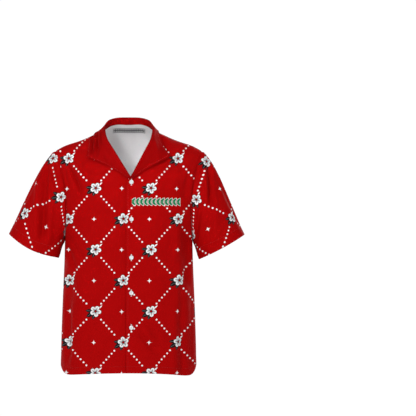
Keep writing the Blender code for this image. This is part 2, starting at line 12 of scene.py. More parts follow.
import bmesh
import bpy
import numpy as np
from mathutils import Matrix, Vector, noise
from mathutils.bvhtree import BVHTree


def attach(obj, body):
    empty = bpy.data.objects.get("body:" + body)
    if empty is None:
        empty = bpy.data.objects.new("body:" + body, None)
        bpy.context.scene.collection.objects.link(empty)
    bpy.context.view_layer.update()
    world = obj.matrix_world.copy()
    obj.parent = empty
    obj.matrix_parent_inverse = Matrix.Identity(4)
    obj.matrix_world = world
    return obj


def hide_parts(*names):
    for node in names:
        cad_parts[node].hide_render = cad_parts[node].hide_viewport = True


# Sizes of the shirt, in metres.
BODY_LENGTH = 0.7165
HEM_DIPS = {1: 0.016, -1: 0.011}
HEM_RISE = 0.0185
FRONT_CORNER = 20  # the higher, the later the hem starts to rise towards the side seam
BACK_CORNER = 5
ARMPIT_Z = -0.324
SHOULDER_HALF = 0.219
SHOULDER_TIP_Z = -0.0600
NECK_HALF = 0.080
NECK_SIDE_Z = 0.001
NECK_BACK_Y = 0.068
V_POINT_Z = -0.140
CENTRE_X = 0.0075
OVERLAP_HALF = 0.015
BEND_HEIGHT = 0.026
V_LEAN = 0.0105
V_LEAN_TOP_Z = -0.020
LAP_DEPTH = 0.0025  # the right front lies this far behind the left one
LAP_START = 0.026
LAP_RUN = 0.024
LAP_CREASE = 0.0024  # and a little deeper along the left one's edge
LAP_CREASE_OFF = 0.001
LAP_CREASE_WIDTH = 0.0035
LAP_CREASE_FROM = 0.006
SLEEVE_SET_IN = 0.0002
SQUARENESS = 2.3
ARCH_HEIGHT = 0.142
ARMHOLE_SHARE = 0.46
ARMHOLE_ROUND = 0.11
NECK_GAP = 0.0013

CLOTH = 0.0009  # the thickness of the cloth shells
COLLAR_CLOTH = 0.0016  # two layers and the stiffening between
HEM_WIDTH = 0.020
HEM_LAYER = 0.0012  # the turned-up hem lies this far inside
HEM_FOLD = 0.45  # its fold reaches this share of that below the hem's line
SEAM_DEPTH = 0.0012  # the cloth dips into a seam by this much
SEAM_REACH = 0.0035

Section = namedtuple("Section", "z front back")
SECTIONS = [
    Section(-0.7200, 0.149, 0.141),
    Section(-0.5500, 0.147, 0.136),
    Section(-0.4000, 0.143, 0.134),
    Section(-0.3000, 0.138, 0.137),
    Section(-0.2000, 0.130, 0.138),
    Section(-0.1000, 0.118, 0.133),
    Section(0.0000, 0.104, 0.126),
    Section(0.0500, 0.096, 0.120),
]

Edge = namedtuple("Edge", "z x")
EDGES = [
    Edge(-0.7200, 0.2022),
    Edge(-0.6300, 0.2008),
    Edge(-0.5000, 0.1964),
    Edge(-0.4000, 0.1922),
    Edge(ARMPIT_Z, 0.1900),
    Edge(-0.2550, 0.1862),
    Edge(-0.1900, 0.1880),
    Edge(-0.1250, 0.1995),
    Edge(SHOULDER_TIP_Z, SHOULDER_HALF),
]

Ridge = namedtuple("Ridge", "x z")
RIDGE = [
    Ridge(0.000, 0.0460),
    Ridge(0.030, 0.0430),
    Ridge(0.055, 0.0290),
    Ridge(NECK_HALF, NECK_SIDE_Z),
    Ridge(0.110, -0.0150),
    Ridge(0.145, -0.0300),
    Ridge(0.190, -0.0450),
    Ridge(SHOULDER_HALF, SHOULDER_TIP_Z),
]

Neckline = namedtuple("Neckline", "z x")
NECKLINE = [
    Neckline(V_POINT_Z, 0.0105),
    Neckline(-0.100, 0.0335),
    Neckline(-0.060, 0.0545),
    Neckline(-0.030, 0.0690),
    Neckline(-0.012, 0.0762),
    Neckline(NECK_SIDE_Z, NECK_HALF),
]

# Folds are lines over one face, seen from the front. The first nine of the front and the first eight
# of the back are in the solids too.
Fold = namedtuple("Fold", "x_top z_top x_foot z_foot height width")
FRONT, BACK = -1, 1
FRONT_FOLDS = [
    Fold(-0.180, -0.100, -0.134, -0.195, -0.0060, 0.011),
    Fold(-0.152, -0.085, -0.110, -0.190, 0.0045, 0.013),
    Fold(-0.172, -0.400, -0.176, -0.700, -0.0060, 0.014),
    Fold(-0.140, -0.420, -0.146, -0.740, 0.0045, 0.018),
    Fold(0.164, -0.250, 0.172, -0.480, -0.0070, 0.013),
    Fold(0.138, -0.260, 0.150, -0.560, 0.0050, 0.017),
    Fold(0.170, -0.560, 0.166, -0.740, -0.0060, 0.014),
    Fold(0.060, -0.560, 0.100, -0.700, -0.0035, 0.014),
    Fold(0.150, -0.130, 0.168, -0.220, -0.0045, 0.012),
    Fold(-0.187, -0.090, -0.136, -0.210, -0.0085, 0.0048),
    Fold(-0.206, -0.085, -0.176, -0.185, -0.0040, 0.007),
    Fold(-0.193, -0.320, -0.150, -0.440, -0.0065, 0.0080),
    Fold(-0.196, -0.300, -0.120, -0.400, -0.0042, 0.0080),
    Fold(-0.160, -0.110, -0.118, -0.200, 0.0045, 0.0080),
    Fold(-0.184, -0.480, -0.182, -0.700, -0.0070, 0.0085),
    Fold(-0.164, -0.490, -0.166, -0.720, 0.0035, 0.0085),
    Fold(-0.036, -0.210, -0.030, -0.560, 0.0022, 0.018),
    Fold(-0.075, -0.230, -0.070, -0.600, -0.0020, 0.016),
    Fold(0.182, -0.270, 0.176, -0.470, -0.0050, 0.008),
    Fold(0.120, -0.430, 0.178, -0.330, -0.0030, 0.010),
    Fold(0.010, -0.574, 0.086, -0.666, -0.0070, 0.0070),
    Fold(0.028, -0.566, 0.102, -0.656, 0.0045, 0.0075),
    Fold(0.016, -0.562, 0.150, -0.612, -0.0030, 0.008),
    Fold(0.034, -0.642, 0.140, -0.640, -0.0032, 0.007),
    Fold(-0.016, -0.590, -0.110, -0.690, -0.0030, 0.009),
    Fold(0.192, -0.440, 0.186, -0.735, -0.0040, 0.011),
    Fold(0.178, -0.110, 0.168, -0.215, -0.0065, 0.0085),
    Fold(0.154, -0.440, 0.160, -0.745, -0.0060, 0.0110),
    Fold(0.134, -0.500, 0.132, -0.745, 0.0035, 0.0120),
    Fold(0.140, -0.060, 0.166, -0.150, -0.0030, 0.010),
    Fold(0.082, -0.004, 0.144, -0.096, -0.0090, 0.0080),
]
BACK_FOLDS = [
    Fold(0.111, -0.250, 0.112, -0.745, -0.0085, 0.014),
    Fold(0.146, -0.300, 0.150, -0.745, 0.0060, 0.016),
    Fold(0.055, -0.280, 0.045, -0.745, 0.0060, 0.026),
    Fold(-0.131, -0.280, -0.128, -0.640, -0.0075, 0.013),
    Fold(-0.155, -0.300, -0.154, -0.700, 0.0050, 0.013),
    Fold(-0.090, -0.300, -0.085, -0.745, 0.0045, 0.022),
    Fold(0.165, -0.160, 0.150, -0.260, -0.0050, 0.013),
    Fold(-0.165, -0.160, -0.150, -0.260, -0.0050, 0.013),
    Fold(0.113, -0.230, 0.114, -0.745, -0.0100, 0.0095),
    Fold(0.139, -0.260, 0.142, -0.745, 0.0060, 0.0090),
    Fold(0.080, -0.240, 0.078, -0.745, 0.0060, 0.0160),
    Fold(0.020, -0.260, 0.014, -0.745, -0.0040, 0.0200),
    Fold(-0.130, -0.240, -0.128, -0.745, -0.0070, 0.0095),
    Fold(-0.152, -0.260, -0.152, -0.745, 0.0040, 0.0100),
    Fold(-0.104, -0.280, -0.102, -0.745, 0.0045, 0.0120),
    Fold(-0.048, -0.300, -0.052, -0.745, -0.0035, 0.0150),
    Fold(0.060, -0.590, -0.060, -0.640, -0.0028, 0.012),
    Fold(-0.070, -0.540, 0.040, -0.590, -0.0018, 0.012),
    Fold(0.020, -0.300, 0.012, -0.560, -0.0020, 0.018),
    Fold(0.186, -0.330, 0.180, -0.640, -0.0045, 0.010),
    Fold(-0.186, -0.330, -0.182, -0.640, -0.0045, 0.010),
    Fold(0.196, -0.120, 0.168, -0.240, -0.0040, 0.008),
    Fold(-0.196, -0.120, -0.168, -0.240, -0.0040, 0.008),
]
BODY_FOLDS = {FRONT: FRONT_FOLDS, BACK: BACK_FOLDS}
# The same for the sleeves, over the face that each one turns to the front.
SLEEVE_LINES = [
    Fold(-0.246, -0.078, -0.256, -0.350, -0.0060, 0.0120),
    Fold(-0.246, -0.078, -0.257, -0.345, -0.0074, 0.0071),
    Fold(-0.268, -0.110, -0.277, -0.340, 0.0068, 0.0085),
    Fold(-0.236, -0.092, -0.213, -0.188, -0.0080, 0.0064),
    Fold(-0.230, -0.200, -0.237, -0.350, 0.0050, 0.0100),
    Fold(0.239, -0.072, 0.246, -0.245, -0.0060, 0.0100),
    Fold(0.240, -0.072, 0.246, -0.240, -0.0075, 0.0066),
    Fold(0.226, -0.090, 0.231, -0.220, 0.0055, 0.0075),
    Fold(0.260, -0.110, 0.266, -0.210, -0.0035, 0.0070),
    Fold(0.213, -0.215, 0.193, -0.350, -0.0090, 0.0075),
    Fold(0.252, -0.180, 0.262, -0.340, 0.0045, 0.0100),
]
# And for the collar's leaves, which rise from the fronts more than they dip towards them.
COLLAR_FOLDS = [
    Fold(-0.111, 0.006, -0.113, -0.106, 0.0062, 0.0040),
    Fold(-0.0985, 0.010, -0.1000, -0.106, 0.0058, 0.0038),
    Fold(-0.085, 0.014, -0.084, -0.104, 0.0058, 0.0042),
    Fold(-0.1050, 0.008, -0.1065, -0.106, -0.0030, 0.0036),
    Fold(-0.0918, 0.012, -0.0920, -0.104, -0.0030, 0.0036),
    Fold(0.068, -0.010, 0.094, -0.106, 0.0050, 0.0060),
    Fold(0.038, -0.122, 0.112, -0.084, 0.0048, 0.0055),
    Fold(-0.030, -0.138, -0.080, -0.060, 0.0036, 0.0070),
]
FOLD_END = 0.045
FOLD_FADE = 0.012

Cuff = namedtuple("Cuff", "side outer_x outer_z inner_x inner_z front_dip back_dip")
CUFFS = {
    "right_sleeve": Cuff(-1, -0.3575, -0.309, -0.2095, -0.380, 0.013, 0.003),
    "left_sleeve": Cuff(1, 0.3470, -0.310, 0.2110, -0.384, 0.003, 0.002),
}
CUFF_HALF_DEPTH = 0.062
CUFF_REACH = 0.536
SleeveStart = namedtuple("SleeveStart", "out aside down reach")
CAP_START = SleeveStart(1.00, 0.45, 0.40, 0.130)
UNDERARM_START = SleeveStart(0.55, 0.45, 0.84, 0.050)

SleeveFold = namedtuple("SleeveFold", "sleeve angle start end height width")
SLEEVE_FOLDS = [
    SleeveFold("right_sleeve", 38, 0.25, 1.10, 0.0040, 0.014),
    SleeveFold("right_sleeve", 160, 0.10, 0.90, -0.0060, 0.011),
    SleeveFold("right_sleeve", 186, 0.15, 1.10, 0.0045, 0.014),
    SleeveFold("right_sleeve", 78, 0.20, 0.95, -0.0035, 0.010),
    SleeveFold("left_sleeve", 170, 0.10, 1.10, -0.0065, 0.011),
    SleeveFold("left_sleeve", 192, 0.15, 1.10, 0.0050, 0.012),
    SleeveFold("left_sleeve", 216, 0.10, 0.80, -0.0050, 0.010),
    SleeveFold("left_sleeve", 74, 0.20, 0.95, -0.0035, 0.010),
]
SLEEVE_FOLD_END = 0.25

CollarLine = namedtuple("CollarLine", "share roll_x roll_y roll_z edge_x edge_y edge_z")
COLLAR = [
    CollarLine(0.00, 0.0060, -0.140, -0.1430, 0.0128, -0.137, -0.1455),
    CollarLine(0.20, 0.0215, -0.134, -0.1130, 0.0440, -0.132, -0.1235),
    CollarLine(0.42, 0.0365, -0.125, -0.0840, 0.0770, -0.122, -0.1035),
    CollarLine(0.62, 0.0505, -0.112, -0.0570, 0.1225, -0.097, -0.0825),
    CollarLine(0.80, 0.0640, -0.086, -0.0300, 0.1070, -0.072, -0.0530),
    CollarLine(1.00, 0.0710, -0.030, 0.0010, 0.0925, -0.018, -0.0060),
    CollarLine(1.25, 0.0690, 0.012, 0.0185, 0.0870, 0.030, -0.0040),
    CollarLine(1.50, 0.0595, 0.042, 0.0345, 0.0700, 0.062, 0.0020),
    CollarLine(1.75, 0.0350, 0.065, 0.0435, 0.0400, 0.081, 0.0070),
    CollarLine(2.00, 0.0000, 0.072, 0.0450, 0.0000, 0.088, 0.0085),
]
TIP_SHARE = 0.62
TIP_SPREAD = 0.20
ROLL_RADIUS = 0.0026
UNEVEN = 0.012  # the collar lies this far towards the wearer's right at its two sides
UNEVEN_SHARE = 0.86
UNEVEN_SPREAD = 0.20
LEAF_LIFT = 0.0048
TIP_LIFT = 0.0120

BUTTON_HEIGHTS = [-0.158, -0.267, -0.3795, -0.483, -0.584]

# The finer relief of the cloth, in metres.
HEM_STAND = 0.0004  # the double layer of a hem stands out by this much
HEM_STEP = 0.002
HEM_STITCH = 0.0190  # the hem's stitches lie this far up
HEM_GROOVE = 0.0005  # and draw the cloth in by this much
STITCH_DRAW = 0.0013  # over this much on each side of them
PULL_DEPTH = 0.0009  # the left front is drawn in by this much at each button
PULL_REACH = 0.011
PULL_FLATTEN = 0.8
Wave = namedtuple("Wave", "height size stretch seed")
WAVES = (Wave(0.0011, 0.060, 2.2, 0.0), Wave(0.0005, 0.024, 1.6, 7.3))
WRINKLE_SEEDS = {
    "left_front": 31.0,
    "right_front": 34.1,
    "back": 12.4,
    "left_sleeve": 6.0,
    "right_sleeve": 4.0,
}
SLEEVE_FRONT = 0.4  # the sleeves' front folds fade out where the cosine of their angle is below this
SLEEVE_FOLDS_FROM = 0.012  # and they start this far below the armhole
SLEEVE_WAVES_FROM = 0.03
CAP_SWELL = 0.0014  # the sleeve stands out by this much beside its seam
CAP_SWELL_DOWN = 0.010
CAP_SWELL_WIDTH = 0.007
LEAF_SWELL = 0.0009  # the collar's leaves stand out by this much along their middle
LEAF_SWELL_WIDTH = 0.045
COLLAR_STITCH = 0.0055
COLLAR_GROOVE = 0.0004
COLLAR_FOLDS_FROM = (0.03, 0.015)  # ahead of the shoulder line, and away from the roll
LABEL_SIZE = (0.1085, 0.0225)
LABEL_ROWS = (9.6, 1.8)  # rows below the back's top
LABEL_COLUMNS = 12.6
LABEL_STEPS = (17, 65)
LABEL_INSIDE = 0.0021
LABEL_CLOTH = 0.0006

# How finely the cloth is divided.
COLUMNS = 66
BACK_COLUMNS = 84
NECK_COLUMNS = 21
HEM_STEPS = (0.0, 0.0008, 0.0025, 0.006, 0.010, 0.014, 0.0175, 0.0190, 0.0205, 0.0225, 0.026, 0.030)
SKIRT_ROWS = 92
CHEST_ROWS = 42
ARCH_ROWS = 48
CHEST_ROW = len(HEM_STEPS) + SKIRT_ROWS - 1
NECK_ROW = CHEST_ROW + CHEST_ROWS
TOP_ROW = NECK_ROW + ARCH_ROWS
ARMPIT_HEIGHTS = (-0.345, ARMPIT_Z)
CHEST_HEIGHTS = (V_POINT_Z, -0.185)
SLEEVE_RINGS = 64
LEAF_ROWS = 22
ROLL_ROWS = 10
STAND_ROWS = 6
EDGE_CROWDING = 0.35  # how much closer the fronts' columns lie at their far edge
RIDGE_ROUNDS = 12  # each top on the ridge is found by coming closer this many times
LIFT_ROUNDS = 8
SHARP_ANGLE = math.radians(60)
SLOPE_STEP = 1e-4  # the surface's slope is measured over this much
NEAR_SIDE = 0.999  # and taken no nearer to the section's side than this share of its half width
TINY = 1e-6  # for lengths and shares that count as nothing
NO_LENGTH = 1e-12  # vectors are divided by no less than this

# The print, in metres on the cloth.
HALF_X = 0.0811  # half a period of the lattice across and along the cloth
HALF_Y = 0.0903
DOT_RADIUS = 0.0025
DOT_PITCH = 0.0117
DOTS = 6  # between two crossings of the lattice
SPARKLE = 0.0080  # from its middle to its points
SIDE_STRETCH = {FRONT: 2.1, BACK: 1.6}  # the most that the print is stretched on the sides
SHOULDER_STRETCH = 2.1  # and over the shoulders
# Where a crossing of the lattice lies on each piece before it is moved to the print's own origin.
FRONT_CROSSING = (-0.1020, -0.1763)
BACK_CROSSING = (-0.0105, -0.4195)
BACK_SHIFT = 20 * HALF_X  # the pieces lie whole periods apart on the print
Band = namedtuple("Band", "u v length height")
CHEST_BAND = Band(0.0808, -0.2155, 0.145, 0.0225)
BACK_BAND = Band(0.0110, -0.1608, 0.336, 0.0430)

# Where marks of the lattice show on the front of each sleeve (x, z), and which ones they are, in half
# periods across and up: three crossings, then the middles of two lines of dots.
SLEEVE_MARKS = {
    "right_sleeve": (
        ((-0.2288, -0.0831), (0, 0)), ((-0.2042, -0.2002), (1, -1)), ((-0.3113, -0.2479), (0, -2)),
        ((-0.2973, -0.3146), (0.5, -2.5)), ((-0.2240, -0.3515), (1.5, -2.5)),
    ),
    "left_sleeve": (
        ((0.2286, -0.0944), (0, 0)), ((0.1965, -0.2109), (-1, -1)), ((0.3056, -0.2616), (0, -2)),
        ((0.2908, -0.3181), (-0.5, -2.5)), ((0.2145, -0.3550), (-1.5, -2.5)),
    ),
}
SLEEVE_SHIFT = {"right_sleeve": -20 * HALF_X, "left_sleeve": -40 * HALF_X}
MARK_REACH = 0.070

# The ornaments of the print, in metres.
SOFT_EDGE = 0.0003  # half the width of a printed edge
SHARP_EDGE = 0.0001  # and of a woven one
SPARKLE_CURVE = 0.52
PETALS = 5
PETAL_LENGTH = 0.0160
PETAL_NOTCH = 0.40  # how far out the notches between petals reach, as a share
PETAL_TURN = 0.4  # the first petal's angle, times half the number of petals
PETAL_SHADE = (-2.0, 1.75, 0.75)  # its slope from the heart outwards, its start and its strength
PETAL_VEIN = (0.0006, 0.4, 0.78, 0.8)  # half its width, its taper, its length as a share, its strength
OUTLINE = 0.0015
HEART = (0.0042, 0.0026)  # a black ring round a red middle
FLOWER_OFF = (0.0050, 0.0010)  # the flower stands this far from the crossing, to make room for its leaves
FlowerLeaf = namedtuple("FlowerLeaf", "degrees distance half_length half_width")
FLOWER_LEAVES = (
    FlowerLeaf(176, 0.0185, 0.0100, 0.0050),
    FlowerLeaf(212, 0.0190, 0.0120, 0.0062),
    FlowerLeaf(250, 0.0165, 0.0090, 0.0048),
)
FLOWER_VEIN = (0.0003, 0.7)  # half its width, and its length as a share of the leaf's
BUD = FlowerLeaf(42, 0.0185, 0.0070, 0.0018)  # a white bud at the upper right
GARLAND_STEP = 0.0126  # about from leaf to leaf, for a band of the chest's height
LEAF = (0.0068, 0.0034)  # half its length and half its width
LEAF_OUT = 0.0054  # from the stem to the middle of a leaf
LEAF_LEAN = 0.80
LEAF_TAPER = 0.25
STEM = 0.0009  # half its width, and the width of the white outline
GARLAND_TRIM = 0.0008  # the garland ends this far inside its band
GARLAND_VEIN = (0.00025, 0.0006)  # half its width, and how far it stays inside the leaf
LOZENGE_HALF = 0.0036
ROW_HALF_HEIGHT = 0.0082
ROW_HALF_LENGTH = 0.0500
RULE_HALF = 0.0009
BORDER_LINE = (0.0018, 0.00035)  # how far inside the label's edge, and half its width
LOZENGE_GROWTH = 0.0003  # so that the lozenges join
BORDER_STRENGTH = 0.4
ROW_STRENGTH = 0.97

# Colours and finish.
MIX_COLOURS = (6, 7)  # the inputs of a Mix node for its two colours
RED = (0.335, 0.0012, 0.0015)
# The collar's red is the shirt's red painted darker: painted shade standing in for the shade that falls on
# the collar.
COLLAR_SHADED_RED = (0.272, 0.0010, 0.0013)
WHITE = (0.800, 0.800, 0.800)
BLACK = (0.010, 0.009, 0.010)
GREY = (0.230, 0.230, 0.235)
GREEN = (0.006, 0.150, 0.055)
LIGHT_GREEN = (0.030, 0.330, 0.110)
INSIDE = (0.800, 0.830, 0.835)
THREAD_RED = (0.330, 0.004, 0.006)
THREAD_WHITE = (0.720, 0.710, 0.690)
RED_SHEEN = (1.0, 0.15, 0.12)
WHITE_SHEEN = (1.0, 1.0, 1.0)
SHOW_THROUGH = (0.90, 0.85, 0.85)  # the print's ground as it shows faintly on the inside
PEARL = ((0.78, 0.79, 0.78), (0.55, 0.57, 0.60))
PAPER = ((0.86, 0.86, 0.86), (0.89, 0.89, 0.89))
WEAVE = 0.0009  # two threads of the weave
ClothLook = namedtuple("ClothLook", "thread_shade cloud_size cloud_shade roughness thread_height crumple")
PRINTED = ClothLook(0.05, 22, 0.14, 0.74, 0.00007, 0.0012)
PLAIN = ClothLook(0.06, 25, 0.12, 0.76, 0.00008, 0.0011)
FIBRE_SIZE = 620  # sizes of noise, in grains a metre
FIBRE_SHADE = 0.12
ROUGH_SIZE = 60
ROUGH_SPREAD = 0.16
CRUMPLE_SIZE = 90
RELIEF = 0.7
CLOTH_GLOSS = 0.02
SHEEN_ROUGHNESS = 0.45
BLEED_EDGE = 0.0012
BLEED_SHARE = 0.55
SATIN_PITCH = 0.0005  # the label's ribbon: from rib to rib, and the ribs' shade and height
SATIN_SHADE = 0.04
SATIN_HEIGHT = 0.00004
SATIN_WEAVE = 0.0006
SATIN_WEAVE_HEIGHT = 0.00003
SATIN_GRAIN = 500
SATIN_GRAIN_SHADE = 0.10
SATIN_FINISH = dict(Roughness=0.42, Sheen_Weight=0.15)
THREAD_GRAIN = 2600
THREAD_SHADE = 0.7
THREAD_HEIGHT = 0.0002
THREAD_RELIEF = 0.6
THREAD_FINISH = dict(Roughness=0.55, Specular_IOR_Level=0.25, Sheen_Weight=0.08)
PEARL_CLOUDS = (210, 3.0, 0.6)  # grains a metre, detail and roughness
PEARL_CONTRAST = (1.6, 0.35)
PEARL_GRAIN = 120  # of the noise that the bands follow
PEARL_BANDS = 26  # how many radians their sine turns over that noise
PEARL_BAND_SHADE = 0.05
PEARL_BAND_HEIGHT = 0.00001
POLISH_GRAIN = 1500
POLISH_HEIGHT = 0.00005
POLISH_RELIEF = 0.5
PEARL_FINISH = dict(
    Roughness=0.20,
    Coat_Weight=0.5,
    Coat_Roughness=0.08,
    Subsurface_Weight=0.10,
    Subsurface_Scale=0.001,
)
PAPER_GRAIN = 40
PAPER_FINISH = dict(Roughness=0.9, Specular_IOR_Level=0.1)
FLOOR_CLEAR = (1.6, 4.3)  # from this far out to this far out the floor fades into the white behind it

# Sewing and buttons, in metres.
STITCH_PITCH = 0.0031
STITCH_LENGTH = 0.0025
STITCH_RADIUS = 0.00024
FRONT_STITCH = 0.0050  # the seams' stitches lie this far from the edge
SHOULDER_STITCH = 0.0060
THREAD_SIDES = 6
ThreadRing = namedtuple("ThreadRing", "share thick rise")  # shares of its length and of its radius
THREAD_RINGS = (
    ThreadRing(0.0, 0.45, -0.9),
    ThreadRing(0.15, 0.95, 0.0),
    ThreadRing(0.5, 1.0, 0.5),
    ThreadRing(0.85, 0.95, 0.0),
    ThreadRing(1.0, 0.45, -0.9),
)
BUTTON_PROFILE = (  # radius and height, from the middle of the front round to the middle of the back
    (0.0, 0.00105),
    (0.0026, 0.00105),
    (0.0036, 0.00115),
    (0.0043, 0.00165),
    (0.0049, 0.00228),
    (0.0054, 0.0024),
    (0.0059, 0.00225),
    (0.0062, 0.0018),
    (0.0063, 0.00125),
    (0.0061, 0.0007),
    (0.0054, 0.00025),
    (0.0040, 0.0),
    (0.0, 0.0),
)
BUTTON_SIDES = 48
BUTTON_SHARP_ANGLE = math.radians(40)
BUTTON_LIFT = 0.0012
BUTTON_TURNS = (0.20, -0.15, 0.10, 0.35, -0.05)
DISH_HEIGHT = 0.00105
HOLE_OUT = 0.0012
HOLE_RADIUS = 0.00060
HOLE_SIDES = 20
CUTTER_DEPTH = 0.01
BUTTONHOLE = 0.0150
HOLE_PITCH = 0.00062
HOLE_STITCH = 0.0016
HOLE_SLIT = 0.00025  # the stitches leave this much free on each side of the buttonhole's middle
HOLE_THREAD = 0.00030
BAR_STITCHES = 4
BAR_WIDEN = 1.1
RAY_START = 0.01  # the cloth's surface is looked for from this far out
THREAD_ABOVE = 0.00005  # and the buttonholes' stitches lie this far above it
STRAND = 0.00022  # half the way between the two strands through a pair of holes
STRAND_ABOVE = 0.0002
SHANK_STRANDS = 8
SHANK = (0.0012, 0.0013)  # its radius at the cloth and at the button
SHANK_INTO = 0.0004

# The camera, the floor and the lights.
PIXEL = 0.003
FRAME_PIXELS = 416
CAMERA_AWAY = 6.0
SHIRT_MIDDLE_Z = -0.36
PICTURE_CENTRE = (0.2376, -0.231)
FLOOR_Z = -1.25
FLOOR_RADIUS = 4.4
FLOOR_SIDES = 96
FLOOR_RINGS = 12
HORIZON_BAND = (-0.50, 0.22, 0.05)  # sines of its lowest and highest elevation, and of its soft edges
ROOM_COLOUR = (0.98, 0.99, 1.0, 1.0)
SOFT_LIGHT = 0.34
HORIZON_LIGHT = 1.04
MIDDLE = (0.0, 0.0, SHIRT_MIDDLE_Z)
Lamp = namedtuple("Lamp", "name place aim size energy spread")
LAMPS = (
    Lamp("key", (-1.8, -3.9, 1.4), MIDDLE, 1.0, 101, math.pi),
    Lamp("fill", (2.4, -3.4, -0.2), MIDDLE, 1.6, 22, math.pi),
    Lamp("neck_light", (0.0, -2.2, 1.7), (0.0, 0.06, -0.03), 0.5, 0.24, math.radians(16)),
    Lamp("behind", (2.2, 3.8, 1.3), MIDDLE, 0.9, 128, math.pi),
    Lamp("behind_fill", (-2.4, 3.4, -0.2), MIDDLE, 1.6, 20, math.pi),
)


def read(rows, key, column, at):
    """A table's column where its key is at, on a smooth curve through the rows."""
    keys = np.array([getattr(row, key) for row in rows])
    values = np.array([getattr(row, column) for row in rows])
    low = np.maximum(np.arange(len(keys)) - 1, 0)
    high = np.minimum(np.arange(len(keys)) + 1, len(keys) - 1)
    slopes = (values[high] - values[low]) / (keys[high] - keys[low])
    at = np.clip(at, keys[0], keys[-1])
    i = np.clip(np.searchsorted(keys, at, side="left") - 1, 0, len(keys) - 2)
    span = keys[i + 1] - keys[i]
    t = (at - keys[i]) / span
    return (
        values[i] * (2 * t**3 - 3 * t**2 + 1)
        + slopes[i] * span * (t**3 - 2 * t**2 + t)
        + values[i + 1] * (3 * t**2 - 2 * t**3)
        + slopes[i + 1] * span * (t**3 - t**2)
    )


def mix(a, b, t):
    """From a to b as t goes from 0 to 1."""
    return a + (b - a) * t


def smooth(t):
    """A gentle step from 0 to 1."""
    t = np.clip(t, 0.0, 1.0)
    return t * t * (3 - 2 * t)


def bump(offset, width):
    """1 in the middle of a smooth bump, and 0 far from it."""
    return np.exp(-((offset / width) ** 2))


def power(value, exponent):
    """A power that keeps the sign."""
    return np.copysign(np.abs(value) ** exponent, value)


def unit(vectors):
    """The same directions with length 1."""
    return vectors / np.maximum(np.linalg.norm(vectors, axis=-1, keepdims=True), NO_LENGTH)


def dot(a, b):
    """Scalar products, with the last axis kept."""
    return (a * b).sum(-1, keepdims=True)


def xyz(x, y, z):
    """Points from their coordinates, any of which may be one number."""
    return np.stack(np.broadcast_arrays(x, y, z), -1).astype(float)


# The body's surface.


def ridge(x):
    """The height of the body's top, over the neck and along the shoulders."""
    return read(RIDGE, "x", "z", np.abs(x))


def depth(z, face):
    """How far the body reaches to its front or back."""
    return read(SECTIONS, "z", "front" if face == FRONT else "back", z)


def edge_angle(z):
    """Where the fronts and the back end: at a right angle up to the armpit, and short of it round the
    armhole."""
    rise = np.clip((z - ARMPIT_Z) / ARMHOLE_ROUND, 0.0, 1.0)
    share = ARMHOLE_SHARE * np.sqrt(1 - (1 - rise) ** 2)
    return np.arccos(share ** (SQUARENESS / 2))


def half_width(z):
    """Half the width of the whole section. Above the armpit the panels end within it."""
    return read(EDGES, "z", "x", z) / np.sin(edge_angle(z)) ** (2 / SQUARENESS)


def angle_at(x, z):
    """The angle from the middle of a face at which the section reaches x."""
    share = np.minimum(1.0, np.abs(x) / half_width(z))
    return np.copysign(np.arcsin(share ** (SQUARENESS / 2)), x)


def x_at(angle, z):
    """The inverse of angle_at."""
    return half_width(z) * power(np.sin(angle), 2 / SQUARENESS)


def crown(x, z):
    """The share of its full depth that the body has below the ridge, along an arch."""
    fall = np.clip((ridge(x) - z) / ARCH_HEIGHT, 0.0, 1.0)
    return np.sqrt(1 - (1 - fall) ** 2)


def body_points(angle, z, face):
    """Points of a face of the body, at angles from its middle."""
    x = x_at(angle, z)
    round_off = np.maximum(0.0, np.cos(angle)) ** (2 / SQUARENESS)
    return xyz(x, face * depth(z, face) * round_off * crown(x, z), z)


def outwards(points):
    """1 on the body's surface, less inside it and more outside."""
    x, y, z = points[..., 0], points[..., 1], points[..., 2]
    share = np.minimum(NEAR_SIDE, np.abs(x) / half_width(z))
    reach = np.where(y < 0, depth(z, FRONT), depth(z, BACK))
    reach = reach * (1 - share**SQUARENESS) ** (1 / SQUARENESS)
    fall = np.minimum(1.0, (ridge(x) - z) / ARCH_HEIGHT)
    return np.sqrt((y / np.maximum(reach, TINY)) ** 2 + (1 - fall) ** 2)


def body_slope(points):
    """Which way outwards grows, and how fast."""
    ways = np.eye(3) * SLOPE_STEP
    rises = [outwards(points + way) - outwards(points - way) for way in ways]
    return np.stack([rise / (2 * SLOPE_STEP) for rise in rises], -1)


def lifted(points, lift, only_out=False):
    """The points moved along the body's normal until they stand lift from it."""
    for _ in range(LIFT_ROUNDS):
        slope = body_slope(points)
        steep = np.linalg.norm(slope, axis=-1)
        move = lift - (outwards(points) - 1) / steep
        if only_out:
            move = np.maximum(move, 0.0)
        points = points + slope / steep[..., None] * move[..., None]
    return points


# Grids of points: rows by columns by three.


def grid_normals(grid, around=False):
    """The normal at each point. A grid that goes around ends on the column that it starts with."""
    if around:
        wide = np.concatenate([grid[:, -2:-1], grid, grid[:, 1:2]], 1)
        across = wide[:, 2:] - wide[:, :-2]
    else:
        across = np.gradient(grid, axis=1)
    return unit(np.cross(across, np.gradient(grid, axis=0)))


def travelled(grid, axis):
    """How far each point is along its row or column."""
    steps = np.linalg.norm(np.diff(grid, axis=axis), axis=-1)
    start = np.zeros_like(np.take(steps, [0], axis=axis))
    return np.concatenate([start, np.cumsum(steps, axis=axis)], axis)


def fold_heights(x, z, folds):
    """How far the folds raise each point. Each one rises and ends gently along its line."""
    total = np.zeros_like(x)
    for fold in folds:
        along = np.array([fold.x_foot - fold.x_top, fold.z_foot - fold.z_top])
        length = np.linalg.norm(along)
        along /= length
        place = (x - fold.x_top) * along[0] + (z - fold.z_top) * along[1]
        off = (x - fold.x_top) * along[1] - (z - fold.z_top) * along[0]
        ends = smooth(place / FOLD_END) * smooth((length - place) / FOLD_END)
        total += fold.height * bump(off, fold.width) * ends
    return total


